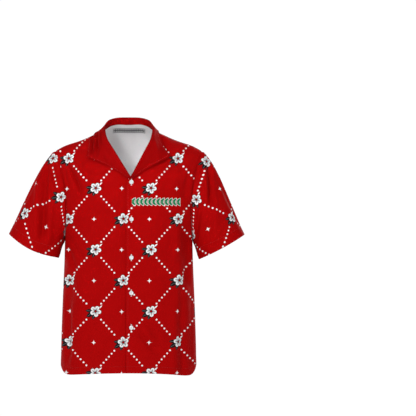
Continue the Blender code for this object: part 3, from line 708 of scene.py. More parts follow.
def seam_fade(x, z):
    """1 on a panel, and falling to 0 at its side and its top."""
    return smooth((read(EDGES, "z", "x", z) - np.abs(x)) / FOLD_FADE) * smooth((ridge(x) - z) / FOLD_FADE)


def uneven(points, size, stretch, seed):
    """Smooth noise from -1 to 1 at each point, longer by stretch along Z."""
    flat = points.reshape(-1, 3) / (size, size, size * stretch) + seed
    return np.array([noise.noise(Vector(p)) for p in flat]).reshape(points.shape[:-1])


def front_hem_z(angle, side):
    """The hem dips towards the side, then rises at the side seam."""
    aside, dip = np.abs(np.sin(angle)), HEM_DIPS[side]
    return -BODY_LENGTH - dip * aside**2 + (dip + HEM_RISE) * aside**FRONT_CORNER


def back_hem_z(angle):
    """The back's hem rises towards the side seam."""
    return -BODY_LENGTH + HEM_RISE * np.sin(angle) ** BACK_CORNER


def row_heights(bottom, armpit, chest, top, arch_top):
    """Z of each row, from the hem to the top, for each column."""
    rows = [bottom + step for step in HEM_STEPS]
    start = bottom + HEM_STEPS[-1]
    rows += [mix(start, armpit, i / SKIRT_ROWS) for i in range(1, SKIRT_ROWS)]
    rows += [mix(armpit, chest, i / CHEST_ROWS) for i in range(CHEST_ROWS)]
    last = np.arccos(1 - (arch_top - top) / (arch_top - chest))
    for i in range(ARCH_ROWS + 1):
        turn = mix(math.pi / 2, last, i / ARCH_ROWS)
        rows.append(arch_top - (arch_top - chest) * (1 - np.cos(turn)))
    return np.array(rows)


def on_ridge(angle_of, shares):
    """Z of the ridge where each column comes up to it."""
    z = np.full_like(shares, SHOULDER_TIP_Z)
    for _ in range(RIDGE_ROUNDS):
        z = ridge(x_at(angle_of(z, shares), z))
    return z


def panel_shares(count):
    """Shares of a panel's width, closer together towards its far edge."""
    t = np.linspace(0, 1, count + 1)
    return mix(t, 1 - (1 - t) ** 2, EDGE_CROWDING)


def front_grid(side, inner_x):
    """Points of one front, in rows from the hem up, which run to the wearer's left."""
    def angle_of(z, share):
        return mix(angle_at(inner_x(z), z), edge_angle(z), share)

    shares = panel_shares(COLUMNS)
    top = on_ridge(angle_of, shares)
    heights = row_heights(
        front_hem_z(angle_of(np.full_like(shares, -BODY_LENGTH), shares), side),
        mix(*ARMPIT_HEIGHTS, shares),
        mix(*CHEST_HEIGHTS, shares),
        top,
        top,
    )
    grid = body_points(angle_of(heights, shares), heights, FRONT)
    grid[..., 0] *= side
    return grid if side > 0 else grid[:, ::-1]


def left_inner_x(z):
    """The left front's edge: along the neckline, then beside the buttons."""
    bend = np.clip(1 - (V_POINT_Z - z) / BEND_HEIGHT, 0.0, 1.0)
    below = mix(CENTRE_X - OVERLAP_HALF, NECKLINE[0].x, bend**2)
    return np.where(z >= V_POINT_Z, read(NECKLINE, "z", "x", z), below)


def lean(z):
    """How much closer to the middle the right front's neckline lies than the left one's."""
    return V_LEAN * np.clip((V_LEAN_TOP_Z - z) / (V_LEAN_TOP_Z - V_POINT_Z), 0.0, 1.0)


def right_inner_x(z):
    """The right front's edge, measured towards the wearer's right."""
    bend = np.clip(1 - (V_POINT_Z - z) / BEND_HEIGHT, 0.0, 1.0)
    below = mix(-(CENTRE_X + OVERLAP_HALF), NECKLINE[0].x - V_LEAN, bend**2)
    return np.where(z >= V_POINT_Z, read(NECKLINE, "z", "x", z) - lean(z), below)


def back_grid():
    """Points of the back, in rows from the hem up, which run to the wearer's left."""
    neck_share = NECK_COLUMNS / BACK_COLUMNS

    def angle_of(z, share):
        rise = smooth((z - V_POINT_Z) / (NECK_SIDE_Z - V_POINT_Z))
        wanted = angle_at(NECK_HALF, NECK_SIDE_Z) / edge_angle(NECK_SIDE_Z)
        shift = np.minimum(share / neck_share, (1 - share) / (1 - neck_share))
        return edge_angle(z) * (share + (wanted - neck_share) * shift * rise)

    shares = np.linspace(0, 1, BACK_COLUMNS + 1)
    side_top = on_ridge(angle_of, shares)
    neck_top = np.full_like(shares, NECK_SIDE_Z)
    for _ in range(RIDGE_ROUNDS):
        angle = angle_of(neck_top, shares)
        x = x_at(angle, neck_top)
        behind = NECK_BACK_Y * np.sqrt(np.clip(1 - (x / NECK_HALF) ** 2, 0.0, 1.0))
        reach = depth(neck_top, BACK) * np.cos(angle) ** (2 / SQUARENESS)
        neck_top = ridge(x) - ARCH_HEIGHT * (1 - np.sqrt(1 - np.clip(behind / reach, 0.0, 1.0) ** 2))
    in_neck = shares < neck_share - TINY
    top = np.where(in_neck, neck_top, side_top)
    arch_top = np.where(in_neck, ridge(x), side_top)
    heights = row_heights(
        back_hem_z(shares * math.pi / 2),
        mix(*ARMPIT_HEIGHTS, shares),
        mix(*CHEST_HEIGHTS, shares),
        top,
        arch_top,
    )
    half = body_points(angle_of(heights, shares), heights, BACK)
    other = half[:, :0:-1] * (-1, 1, 1)
    return np.concatenate([other, half], 1)


# Cloth on the panels: where each point lies on the cut cloth, its folds, seams and hem.


def print_steps(grid, axis, coordinate, stretch):
    """How far the print gets from point to point: as far as it shows from the front, or more where
    the cloth turns away, so that the print is never stretched beyond its limit."""
    way = np.diff(grid, axis=axis)
    steps = np.maximum(np.abs(way[..., coordinate]), np.linalg.norm(way, axis=-1) / stretch)
    start = np.zeros_like(np.take(steps, [0], axis=axis))
    return np.concatenate([start, np.cumsum(steps, axis=axis)], axis)


def panel_uv(grid, face, middle_column, middle_u):
    """Places on the print for the points of the smooth panel."""
    across = print_steps(grid, 1, 0, SIDE_STRETCH[face])
    u = across - across[:, [middle_column]] + middle_u[:, None]
    up = print_steps(grid, 0, 2, SHOULDER_STRETCH)
    v = up - up[NECK_ROW] + grid[NECK_ROW, :, 2]
    return np.stack([u, v], -1)


def seam_dip(grid, low=False, high=False, top=None):
    """How much the cloth dips near its seams: at the first and last column and, where top, the last row."""
    along, up = travelled(grid, 1), travelled(grid, 0)
    dips = []
    if low:
        dips.append(along)
    if high:
        dips.append(along[:, -1:] - along)
    if top is not None:
        dips.append(np.where(top, up[-1:] - up, 1.0))
    return SEAM_DEPTH * sum(bump(distance, SEAM_REACH) for distance in dips)


def hem_relief(grid):
    """The double layer of the hem stands out a little, and its stitching draws it in."""
    up = travelled(grid, 0)
    step = HEM_STAND * (1 - smooth((up - HEM_WIDTH) / HEM_STEP))
    return step - HEM_GROOVE * bump(up - HEM_STITCH, STITCH_DRAW)


def wrinkles(grid, seed):
    """Small uneven waves of worn cloth."""
    return sum(wave.height * uneven(grid, wave.size, wave.stretch, seed + wave.seed) for wave in WAVES)


def with_turned_hem(grid, uv):
    """The sheet with its hem turned up on the inside: rows from the raw edge down to the fold and
    then up the outside."""
    normals = grid_normals(grid)
    inside, inside_uv = [], []
    for i in reversed([i for i, step in enumerate(HEM_STEPS) if 0 < step <= HEM_WIDTH]):
        inside.append(grid[i] - normals[i] * HEM_LAYER)
        inside_uv.append(uv[0] * 2 - uv[i])
    down = unit(grid[0] - grid[1])
    inside.append(grid[0] - normals[0] * HEM_LAYER / 2 + down * HEM_LAYER * HEM_FOLD)
    inside_uv.append(uv[0])
    return np.concatenate([inside, grid]), np.concatenate([inside_uv, uv])


def put_in_scene(name, data):
    """An object with this data, in the scene."""
    thing = bpy.data.objects.new(name, data)
    bpy.context.scene.collection.objects.link(thing)
    return thing


def add_mesh(name, verts, faces, materials, indices=None):
    """A smooth mesh in the scene. The indices say which material each face has."""
    mesh = bpy.data.meshes.new(name)
    mesh.from_pydata(np.asarray(verts).tolist(), [], [[int(i) for i in face] for face in faces])
    for material in materials:
        mesh.materials.append(material)
    if indices is not None:
        mesh.polygons.foreach_set("material_index", indices)
    mesh.shade_smooth()
    return put_in_scene(name, mesh)


def map_faces(mesh, name, places):
    """A UV map from a place for each vertex."""
    corner = np.empty(len(mesh.loops), np.int32)
    mesh.loops.foreach_get("vertex_index", corner)
    layer = mesh.uv_layers.new(name=name)
    layer.uv.foreach_set("vector", places[corner].astype(np.float32).ravel())


def add_cloth(name, grid, uv, wall, materials, around=False):
    """A shell of cloth with the grid in its middle. Its outer side is where the grid's normals point."""
    rows, columns = grid.shape[:2]
    half_wall = grid_normals(grid, around) * wall / 2
    verts = np.concatenate([(grid + half_wall).reshape(-1, 3), (grid - half_wall).reshape(-1, 3)])
    at = np.arange(rows * columns).reshape(rows, columns)
    outer = np.stack([at[:-1, :-1], at[:-1, 1:], at[1:, 1:], at[1:, :-1]], -1).reshape(-1, 4)
    inner = (outer + rows * columns)[:, ::-1]
    border = np.concatenate([at[0], at[1:, -1], at[-1, -2::-1], at[-2:0:-1, 0]])
    after = np.roll(border, -1)
    rim = np.stack([border + rows * columns, after + rows * columns, after, border], -1)
    indices = np.concatenate([np.zeros(len(outer)), np.ones(len(inner)), np.zeros(len(rim))]).astype(np.int32)
    piece = add_mesh(name, verts, np.concatenate([outer, inner, rim]), materials, indices)
    piece.data.set_sharp_from_angle(angle=SHARP_ANGLE)
    flat = uv.reshape(-1, 2)
    map_faces(piece.data, "cloth", np.concatenate([flat, flat]))
    return piece


def wear(piece, node):
    """The piece stands for a node of the frame."""
    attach(piece, "root")
    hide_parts(node)
    return piece


Cut = namedtuple("Cut", "width length area")


def button_pull(grid):
    """The left front is drawn in a little at each button."""
    x, z = grid[..., 0], grid[..., 2]
    total = np.zeros_like(x)
    for height in BUTTON_HEIGHTS:
        off = (x - CENTRE_X) ** 2 + ((z - height) * PULL_FLATTEN) ** 2
        total -= PULL_DEPTH * np.exp(-off / PULL_REACH**2)
    return total


def outer_panel(name, grid, face, uv, relief, material):
    """A body panel: its folds, then its turned hem, as a shell."""
    x, z = grid[..., 0], grid[..., 2]
    relief = relief + fold_heights(x, z, BODY_FOLDS[face]) * seam_fade(x, z) + hem_relief(grid)
    relief = relief + wrinkles(grid, WRINKLE_SEEDS[name]) * seam_fade(x, z)
    surface = grid + grid_normals(grid) * relief[..., None]
    cloth, cloth_uv = with_turned_hem(surface, uv)
    piece = add_cloth(name + "_cloth", cloth, cloth_uv, CLOTH, [material, inside])
    wear(piece, name)
    return surface, piece


def make_fronts():
    """Both fronts, the right one pressed back where the left one laps over it."""
    left, right = front_grid(1, left_inner_x), front_grid(-1, right_inner_x)
    left_uv = panel_uv(left, FRONT, 0, left[:, 0, 0]) - FRONT_CROSSING
    right_uv = panel_uv(right, FRONT, -1, right[:, -1, 0]) - FRONT_CROSSING
    every = np.ones(left.shape[1], bool)
    left_relief = button_pull(left) - seam_dip(left, high=True, top=every)
    left_done, left_piece = outer_panel("left_front", left, FRONT, left_uv, left_relief, printed_front)
    under = right[..., 0] - (CENTRE_X - OVERLAP_HALF)
    lap = smooth((under + LAP_START) / LAP_RUN) * LAP_DEPTH
    beside = right[..., 0] - left_inner_x(right[..., 2]) + LAP_CREASE_OFF
    below = smooth((V_POINT_Z - right[..., 2]) / LAP_CREASE_FROM)
    lap += LAP_CREASE * bump(beside, LAP_CREASE_WIDTH) * below
    right_relief = -lap - seam_dip(right, low=True, top=every)
    right_done, _ = outer_panel("right_front", right, FRONT, right_uv, right_relief, printed_plain)
    return left, right, left_done, right_done, left_piece


def make_back():
    """The back, with its print as seen from behind."""
    back = back_grid()
    turned = back[:, ::-1]  # so that the columns run to the right as seen from behind
    uv = panel_uv(turned, BACK, BACK_COLUMNS, turned[:, BACK_COLUMNS, 0])
    uv = uv - BACK_CROSSING + (BACK_SHIFT, 0)
    beside_neck = np.abs(np.arange(-BACK_COLUMNS, BACK_COLUMNS + 1)) >= NECK_COLUMNS
    relief = -seam_dip(turned, low=True, high=True, top=beside_neck)
    done, _ = outer_panel("back", turned, BACK, uv, relief, printed_back)
    return back, done


# The sleeves.


def armhole(side, front, back):
    """The points round one armhole, from under the arm up the front and down the back."""
    column = -1 if side > 0 else 0
    up, down = front[CHEST_ROW:, column], back[CHEST_ROW:, column][::-1]

    def shares(points):
        steps = np.linalg.norm(np.diff(points, axis=0), axis=-1)
        return np.concatenate([[0], np.cumsum(steps)]) / steps.sum()

    loop = np.concatenate([up, down[1:]])
    return loop, np.concatenate([shares(up) / 2, 0.5 + shares(down)[1:] / 2])


def sleeve_folds(name, angle, t, radius):
    """How far the folds along the sleeve raise each point."""
    total = np.zeros(np.broadcast(angle, t).shape)
    for fold in SLEEVE_FOLDS:
        if fold.sleeve != name:
            continue
        turn = (angle - math.radians(fold.angle) + math.pi) % math.tau - math.pi
        off = turn * radius
        ends = smooth((t - fold.start) / SLEEVE_FOLD_END) * smooth((fold.end - t) / SLEEVE_FOLD_END)
        total = total + fold.height * bump(off, fold.width) * ends
    return total


def sleeve_rings(name, front, back):
    """The sleeve's points from the cuff up to the armhole, with each one's angle and share."""
    cuff = CUFFS[name]
    start, share = armhole(cuff.side, front, back)
    outer, inner = np.array([cuff.outer_x, 0, cuff.outer_z]), np.array([cuff.inner_x, 0, cuff.inner_z])
    centre, across = (outer + inner) / 2, (outer - inner) / 2
    axis = unit(np.array([-across[2] * cuff.side, 0, across[0] * cuff.side]))
    axis = -axis if axis[2] > 0 else axis
    angle = (math.tau * share - math.pi / 2)[:, None]
    height, ahead = np.sin(angle), np.cos(angle)
    dip = mix(cuff.back_dip, cuff.front_dip, (1 + ahead) / 2) * ahead**2
    end = centre + across * height + np.array([0, -CUFF_HALF_DEPTH, 0]) * ahead + axis * dip
    top = (1 + height) / 2
    set_off = SleeveStart(*(mix(low, high, top) for low, high in zip(UNDERARM_START, CAP_START)))
    leave = unit(np.concatenate([cuff.side * set_off.out, -set_off.aside * ahead, -set_off.down], 1))
    first = leave * set_off.reach
    last = axis * CUFF_REACH * np.linalg.norm(end - start, axis=-1, keepdims=True)
    speed = np.linalg.norm(last, axis=-1)
    hem = [1 - step / speed for step in HEM_STEPS]
    rest = [hem[-1] * (1 - i / SLEEVE_RINGS) for i in range(1, SLEEVE_RINGS + 1)]
    t = np.array(hem + rest)[..., None]
    start = start + leave * SLEEVE_SET_IN
    start[:, 0] += (cuff.side * SLEEVE_SET_IN * (1 - top) ** 2)[:, 0]
    rings = (
        start * (2 * t**3 - 3 * t**2 + 1)
        + first * (t**3 - 2 * t**2 + t)
        + end * (3 * t**2 - 2 * t**3)
        + last * (t**3 - t**2)
    )
    return rings, np.broadcast_to(angle[:, 0], t.shape[:2]), t[..., 0]


def make_sleeve(name, front, back):
    """One sleeve, a tube from its turned cuff to the armhole."""
    grid, angle, t = sleeve_rings(name, front, back)
    side = CUFFS[name].side
    if side < 0:
        grid, angle, t = grid[:, ::-1], angle[:, ::-1], t[:, ::-1]
    normals = grid_normals(grid, around=True)
    middle = grid.mean(1, keepdims=True)
    radius = np.linalg.norm(grid - middle, axis=-1)
    up, across = travelled(grid, 0), travelled(grid, 1)
    facing = np.abs(angle[0]).argmin()
    u = across - across[:, facing : facing + 1]
    uv = on_marks(np.stack([u, up], -1), grid, SLEEVE_MARKS[name]) + (SLEEVE_SHIFT[name], 0)
    down = up[-1:] - up
    relief = sleeve_folds(name, angle, t, radius)
    ahead = smooth(np.cos(angle) / SLEEVE_FRONT) * smooth(down / SLEEVE_FOLDS_FROM)
    relief += fold_heights(grid[..., 0], grid[..., 2], SLEEVE_LINES) * ahead
    relief += wrinkles(grid, WRINKLE_SEEDS[name]) * smooth(down / SLEEVE_WAVES_FROM)
    relief += CAP_SWELL * bump(down - CAP_SWELL_DOWN, CAP_SWELL_WIDTH)
    relief -= SEAM_DEPTH * bump(down, SEAM_REACH)
    relief += hem_relief(grid)
    surface = grid + normals * relief[..., None]
    cloth, cloth_uv = with_turned_hem(surface, uv)
    piece = add_cloth(name + "_cloth", cloth, cloth_uv, CLOTH, [printed_plain, inside], around=True)
    wear(piece, name)
    "left_front_cloth" if side > 0 else "right_front_cloth"
    return surface


def on_marks(places, grid, marks):
    """The places on the print, turned, sheared and then bent so that its marks show where they should."""
    found, wanted = [], []
    for (x, z), (across, up) in marks:
        behind = grid[..., 1] > 0
        off = (grid[..., 0] - x) ** 2 + (grid[..., 2] - z) ** 2 + behind
        found.append(places[np.unravel_index(off.argmin(), off.shape)])
        wanted.append((across * HALF_X, up * HALF_Y))
    found, wanted = np.array(found), np.array(wanted)

    def straight(points):
        return np.concatenate([points, np.ones_like(points[..., :1])], -1)

    def bent(points):
        away = np.linalg.norm(points[..., None, :] - found, axis=-1)
        return bump(away, MARK_REACH)

    turn = np.linalg.lstsq(straight(found), wanted, rcond=None)[0]
    rest = wanted - straight(found) @ turn
    return straight(places) @ turn + bent(places) @ np.linalg.solve(bent(found), rest)


# The collar.


def collar_line(share, column):
    """A column of the collar's table. The leaf's edge has a corner at its tip."""
    if not column.startswith("edge"):
        return read(COLLAR, "share", column, share)
    low = read([row for row in COLLAR if row.share <= TIP_SHARE], "share", column, share)
    high = read([row for row in COLLAR if row.share >= TIP_SHARE], "share", column, share)
    return np.where(share <= TIP_SHARE, low, high)


def collar_grid(left, right, back):
    """Sections of the collar, from the right front's neckline round the back to the left one's."""
    left_seam, right_seam = left[NECK_ROW:, 0], right[NECK_ROW:, -1]
    neck = back[TOP_ROW, BACK_COLUMNS - NECK_COLUMNS + 1 : BACK_COLUMNS + NECK_COLUMNS]
    seam = np.concatenate([right_seam, neck, left_seam[::-1]])
    steps, turns = len(left_seam) - 1, len(neck) + 1
    front_share = np.arange(steps + 1) / steps
    neck_share = 2 - np.abs(1 - 2 * np.arange(1, turns) / turns)
    share = np.concatenate([front_share, neck_share, front_share[::-1]])
    neck_side = np.where(neck[:, 0] < 0, -1.0, 1.0)
    side = np.concatenate([-np.ones(steps + 1), neck_side, np.ones(steps + 1)])
    seam = seam * np.stack([side, np.ones_like(side), np.ones_like(side)], -1)
    roll = xyz(*(collar_line(share, "roll_" + axis) for axis in "xyz"))
    edge = xyz(*(collar_line(share, "edge_" + axis) for axis in "xyz"))
    roll[:, 0] -= np.where(side < 0, lean(roll[:, 2]), 0.0)
    edge[:, 0] -= np.where(side < 0, lean(edge[:, 2]) * np.maximum(0.0, 1 - share / TIP_SHARE), 0.0)
    edge[:, 0] -= side * UNEVEN * bump(share - UNEVEN_SHARE, UNEVEN_SPREAD)
    tip = bump(share - TIP_SHARE, TIP_SPREAD)
    edge = lifted(edge, mix(LEAF_LIFT, TIP_LIFT, tip))
    up = unit(roll - (seam + edge) / 2)
    over = body_slope(seam)
    over = unit(over - up * dot(over, up))
    centre = roll - up * ROLL_RADIUS
    stand = centre - over * ROLL_RADIUS
    foot = seam + unit(stand - seam) * NECK_GAP
    columns = [mix(foot, stand, i / STAND_ROWS) for i in range(STAND_ROWS)]
    for i in range(ROLL_ROWS + 1):
        turn = math.pi * i / ROLL_ROWS
        columns.append(centre - over * ROLL_RADIUS * math.cos(turn) + up * ROLL_RADIUS * math.sin(turn))
    start = columns[-1]
    for i in range(1, LEAF_ROWS + 1):
        columns.append(lifted(mix(start, edge, i / LEAF_ROWS), LEAF_LIFT, only_out=True))
    grid = np.stack(columns, 1)
    grid[..., 0] *= side[:, None]
    return grid


def make_collar(left, right, back):
    """The collar, from its seam over the roll to the edge of its leaf."""
    grid = collar_grid(left, right, back)[::-1]
    across = travelled(grid, 1)
    to_edge = across[:, -1:] - across
    roll_end = STAND_ROWS + ROLL_ROWS
    on_leaf = np.arange(grid.shape[1]) > roll_end
    relief = LEAF_SWELL * np.sin(math.pi * np.clip(to_edge / LEAF_SWELL_WIDTH, 0, 1)) * on_leaf
    relief = relief - COLLAR_GROOVE * bump(to_edge - COLLAR_STITCH, STITCH_DRAW)
    from_roll = across - across[:, [roll_end]]
    front_run, roll_run = COLLAR_FOLDS_FROM
    ahead = smooth(-grid[..., 1] / front_run) * smooth(from_roll / roll_run)
    relief += fold_heights(grid[..., 0], grid[..., 2], COLLAR_FOLDS) * ahead
    surface = grid + grid_normals(grid) * relief[..., None]
    uv = np.stack([travelled(grid, 0), across], -1)
    piece = add_cloth("collar_cloth", surface, uv, COLLAR_CLOTH, [collar_red, collar_red])
    wear(piece, "collar")
    return surface


def sample(grid, rows, columns):
    """Points of the grid at rows and columns that needn't be whole."""
    i = np.clip(rows.astype(int), 0, grid.shape[0] - 2)
    j = np.clip(columns.astype(int), 0, grid.shape[1] - 2)
    a, b = (rows - i)[..., None], (columns - j)[..., None]
    low = mix(grid[i, j], grid[i, j + 1], b)
    return mix(low, mix(grid[i + 1, j], grid[i + 1, j + 1], b), a)


def make_label(back):
    """The label inside the back of the neck."""
    rows = TOP_ROW - np.linspace(*LABEL_ROWS, LABEL_STEPS[0])
    columns = BACK_COLUMNS + np.linspace(-LABEL_COLUMNS, LABEL_COLUMNS, LABEL_STEPS[1])
    points = sample(back, *np.meshgrid(rows, columns, indexing="ij"))
    points = points - unit(body_slope(points)) * LABEL_INSIDE
    uv = np.stack([travelled(points, 1), travelled(points, 0)], -1)
    piece = add_cloth("neck_label_cloth", points, uv, LABEL_CLOTH, [label_white, label_white])
    wear(piece, "neck_label")


# Materials. A Field is a number that varies over the surface, and arithmetic on it adds nodes.


class Field:
    def __init__(self, tree, socket):
        self.tree, self.socket = tree, socket

    def __add__(self, other):
        return calc("ADD", self, other)

    def __radd__(self, other):
        return calc("ADD", other, self)

    def __sub__(self, other):
        return calc("SUBTRACT", self, other)

    def __rsub__(self, other):
        return calc("SUBTRACT", other, self)

    def __mul__(self, other):
        return calc("MULTIPLY", self, other)

    def __rmul__(self, other):
        return calc("MULTIPLY", other, self)

    def __truediv__(self, other):
        return calc("DIVIDE", self, other)

    def __abs__(self):
        return calc("ABSOLUTE", self)


def calc(operation, *values, clamp=False):
    """A Math node's result, from Fields and numbers."""
    tree = next(value.tree for value in values if isinstance(value, Field))
    node = tree.nodes.new("ShaderNodeMath")
    node.operation, node.use_clamp = operation, clamp
    for value, socket in zip(values, node.inputs):
        if isinstance(value, Field):
            tree.links.new(value.socket, socket)
        else:
            socket.default_value = value
    return Field(tree, node.outputs[0])


def wrapped(value, half):
    """The value, brought between -half and half by whole periods."""
    return calc("WRAP", value, half, -half)


def covers(inside_by, soft=SOFT_EDGE):
    """1 where the distance inside an edge is over 0, with a soft edge."""
    return calc("MULTIPLY_ADD", inside_by, 0.5 / soft, 0.5, clamp=True)


def new_material(name):
    """A material, its nodes and its shader."""
    material = bpy.data.materials.new(name)
    material.use_nodes = True
    return material, material.node_tree, material.node_tree.nodes["Principled BSDF"]


def settle(node, **values):
    """Sets the node's inputs, with _ for the spaces in their names."""
    for name, value in values.items():
        node.inputs[name.replace("_", " ")].default_value = value


def cloth_place(tree):
    """The place on the cut cloth in metres: u, v and both as a vector."""
    node = tree.nodes.new("ShaderNodeUVMap")
    node.uv_map = "cloth"
    parts = tree.nodes.new("ShaderNodeSeparateXYZ")
    tree.links.new(node.outputs[0], parts.inputs[0])
    return Field(tree, parts.outputs[0]), Field(tree, parts.outputs[1]), node.outputs[0]


def speckle(tree, vector, scale, detail=2.0, roughness=0.5):
    """Noise round 0."""
    node = tree.nodes.new("ShaderNodeTexNoise")
    node.noise_dimensions = "3D"
    tree.links.new(vector, node.inputs["Vector"])
    settle(node, Scale=scale, Detail=detail, Roughness=roughness)
    return Field(tree, node.outputs["Fac"]) - 0.5


def paint(tree, below, colour, mask):
    """A colour, or another picture of one, laid over the colours below where the mask is 1."""
    node = tree.nodes.new("ShaderNodeMix")
    node.data_type = "RGBA"
    tree.links.new(mask.socket, node.inputs[0])
    for value, place in zip((below, colour), MIX_COLOURS):
        if isinstance(value, tuple):
            node.inputs[place].default_value = (*value, 1.0)
        else:
            tree.links.new(value, node.inputs[place])
    return node.outputs[2]


def brighten(tree, colour, by):
    """A colour, or another picture of one, made lighter or darker by a Field."""
    node = tree.nodes.new("ShaderNodeVectorMath")
    node.operation = "SCALE"
    if isinstance(colour, tuple):
        node.inputs[0].default_value = colour
    else:
        tree.links.new(colour, node.inputs[0])
    tree.links.new(by.socket, node.inputs["Scale"])
    return node.outputs[0]


def raise_surface(tree, shader, height, strength):
    """A bump from a height in metres."""
    node = tree.nodes.new("ShaderNodeBump")
    settle(node, Strength=strength, Distance=1.0)
    tree.links.new(height.socket, node.inputs["Height"])
    tree.links.new(node.outputs[0], shader.inputs["Normal"])


def weave(u, v, pitch=WEAVE):
    """A plain weave's height, from -1 to 1."""
    turn = math.tau / pitch
    return calc("SINE", u * turn) * calc("SINE", v * turn)


def dots_and_sparkles(u, v):
    """The lattice of dots with a sparkle in each of its meshes, as distances inside their edges, and
    the way from the nearest crossing. Second is 1 at every other row of crossings."""
    xa, ya = wrapped(u, HALF_X), wrapped(v, HALF_Y)
    xb, yb = wrapped(u - HALF_X, HALF_X), wrapped(v - HALF_Y, HALF_Y)
    aside, along = abs(xa), abs(ya)
    second = calc("GREATER_THAN", aside / HALF_X + along / HALF_Y, 1.0)
    between = calc("GREATER_THAN", aside / HALF_X, along / HALF_Y)
    diagonal = math.hypot(HALF_X, HALF_Y)
    run = (aside * HALF_X + along * HALF_Y) / diagonal - diagonal / 2
    off = (aside * HALF_Y - along * HALF_X) / diagonal
    last = (DOTS - 1) / 2
    number = calc("FLOOR", run / DOT_PITCH) + 0.5
    number = calc("MINIMUM", calc("MAXIMUM", number, -last), last)
    run = run - number * DOT_PITCH
    dot_edge = DOT_RADIUS - calc("SQRT", run * run + off * off)
    star_x, star_y = abs(mix(xa, xb, between)), abs(mix(yb, ya, between))
    arms = calc("POWER", star_x, SPARKLE_CURVE) + calc("POWER", star_y, SPARKLE_CURVE)
    star_edge = (SPARKLE**SPARKLE_CURVE - arms) * SPARKLE ** (1 - SPARKLE_CURVE)
    return dot_edge, star_edge, mix(xa, xb, second), mix(ya, yb, second), second


def leaf_shape(x, y, leaf):
    """The way along a leaf and aside from its middle, and the distance inside its edge."""
    turn = math.radians(leaf.degrees)
    along = x * math.cos(turn) + y * math.sin(turn) - leaf.distance
    aside = abs(y * math.cos(turn) - x * math.sin(turn))
    share = along / leaf.half_length
    return along, aside, leaf.half_width * (1 - share * share) - aside


def flower(tree, colours, x, y, second):
    """A white flower of five petals, outlined in black, with black leaves at its lower left."""
    x, y = x - FLOWER_OFF[0], y - FLOWER_OFF[1]
    vein_half, vein_share = FLOWER_VEIN
    for leaf in FLOWER_LEAVES:
        along, aside, edge = leaf_shape(x, y, leaf)
        colours = paint(tree, colours, BLACK, covers(edge))
        vein = covers(vein_half - aside) * covers(leaf.half_length * vein_share - abs(along))
        colours = paint(tree, colours, GREY, vein)
    colours = paint(tree, colours, WHITE, covers(leaf_shape(x, y, BUD)[2]))
    radius = calc("SQRT", x * x + y * y)
    turn = calc("ARCTAN2", y, x) * (PETALS / 2) + second * (math.pi / 2) + PETAL_TURN
    swell = calc("SQRT", abs(calc("COSINE", turn)))
    petal = (swell * (1 - PETAL_NOTCH) + PETAL_NOTCH) * PETAL_LENGTH
    colours = paint(tree, colours, BLACK, covers(petal + OUTLINE - radius))
    colours = paint(tree, colours, WHITE, covers(petal - radius))
    slope, start, strength = PETAL_SHADE
    shade = calc("MULTIPLY_ADD", radius / petal, slope, start, clamp=True)
    colours = paint(tree, colours, GREY, shade * strength)
    half, taper, reach, strength = PETAL_VEIN
    vein = covers(half - abs(calc("SINE", turn)) * radius * taper) * covers(petal * reach - radius)
    colours = paint(tree, colours, BLACK, vein * strength)
    colours = paint(tree, colours, BLACK, covers(HEART[0] - radius))
    return paint(tree, colours, RED, covers(HEART[1] - radius))


def garland(tree, colours, u, v, band):
    """A band of green leaves in pairs along a stem, outlined in white."""
    size = band.height / CHEST_BAND.height
    x, y = (u - band.u) / size, (v - band.v) / size
    long = band.length / size / 2
    step = long / round(long / GARLAND_STEP)
    leaf_x = calc("FLOORED_MODULO", x, step) - step / 2
    leaf_y = abs(y) - LEAF_OUT
    cos, sin = math.cos(LEAF_LEAN), math.sin(LEAF_LEAN)
    p = (leaf_x * cos + leaf_y * sin) / LEAF[0]
    q = (leaf_y * cos - leaf_x * sin) / LEAF[1]
    narrow = 1 - LEAF_TAPER * p
    leaf = (1 - calc("SQRT", p * p + (q / narrow) * (q / narrow))) * LEAF[1]
    within = covers(long - GARLAND_TRIM - abs(x))
    soft = SOFT_EDGE / size
    edge = calc("MAXIMUM", leaf, STEM - abs(y))
    colours = paint(tree, colours, WHITE, covers(edge + STEM, soft) * within)
    colours = paint(tree, colours, GREEN, covers(edge, soft) * within)
    vein = calc("MINIMUM", GARLAND_VEIN[0] - abs(q) * LEAF[1], leaf - GARLAND_VEIN[1])
    return paint(tree, colours, LIGHT_GREEN, covers(vein, soft) * within)


def on_print(band, crossing, shift):
    """The band, placed from the print's own origin."""
    return band._replace(u=band.u - crossing[0] + shift, v=band.v - crossing[1])


def finish_cloth(tree, shader, colours, look, sheen_tint):
    """The weave, the crumple and the soft clouds of worn cloth over its colours."""
    u, v, place = cloth_place(tree)
    threads = weave(u, v)
    shade = 1 + threads * look.thread_shade + speckle(tree, place, look.cloud_size) * look.cloud_shade
    shade = shade + speckle(tree, place, FIBRE_SIZE, 1.0) * FIBRE_SHADE
    tree.links.new(brighten(tree, colours, shade), shader.inputs["Base Color"])
    rough = look.roughness + speckle(tree, place, ROUGH_SIZE) * ROUGH_SPREAD
    tree.links.new(rough.socket, shader.inputs["Roughness"])
    crumple = speckle(tree, place, CRUMPLE_SIZE, 3.0) * look.crumple
    raise_surface(tree, shader, threads * look.thread_height + crumple, RELIEF)
    settle(shader, Specular_IOR_Level=CLOTH_GLOSS, Sheen_Weight=CLOTH_GLOSS)
    settle(shader, Sheen_Roughness=SHEEN_ROUGHNESS, Sheen_Tint=(*sheen_tint, 1.0))


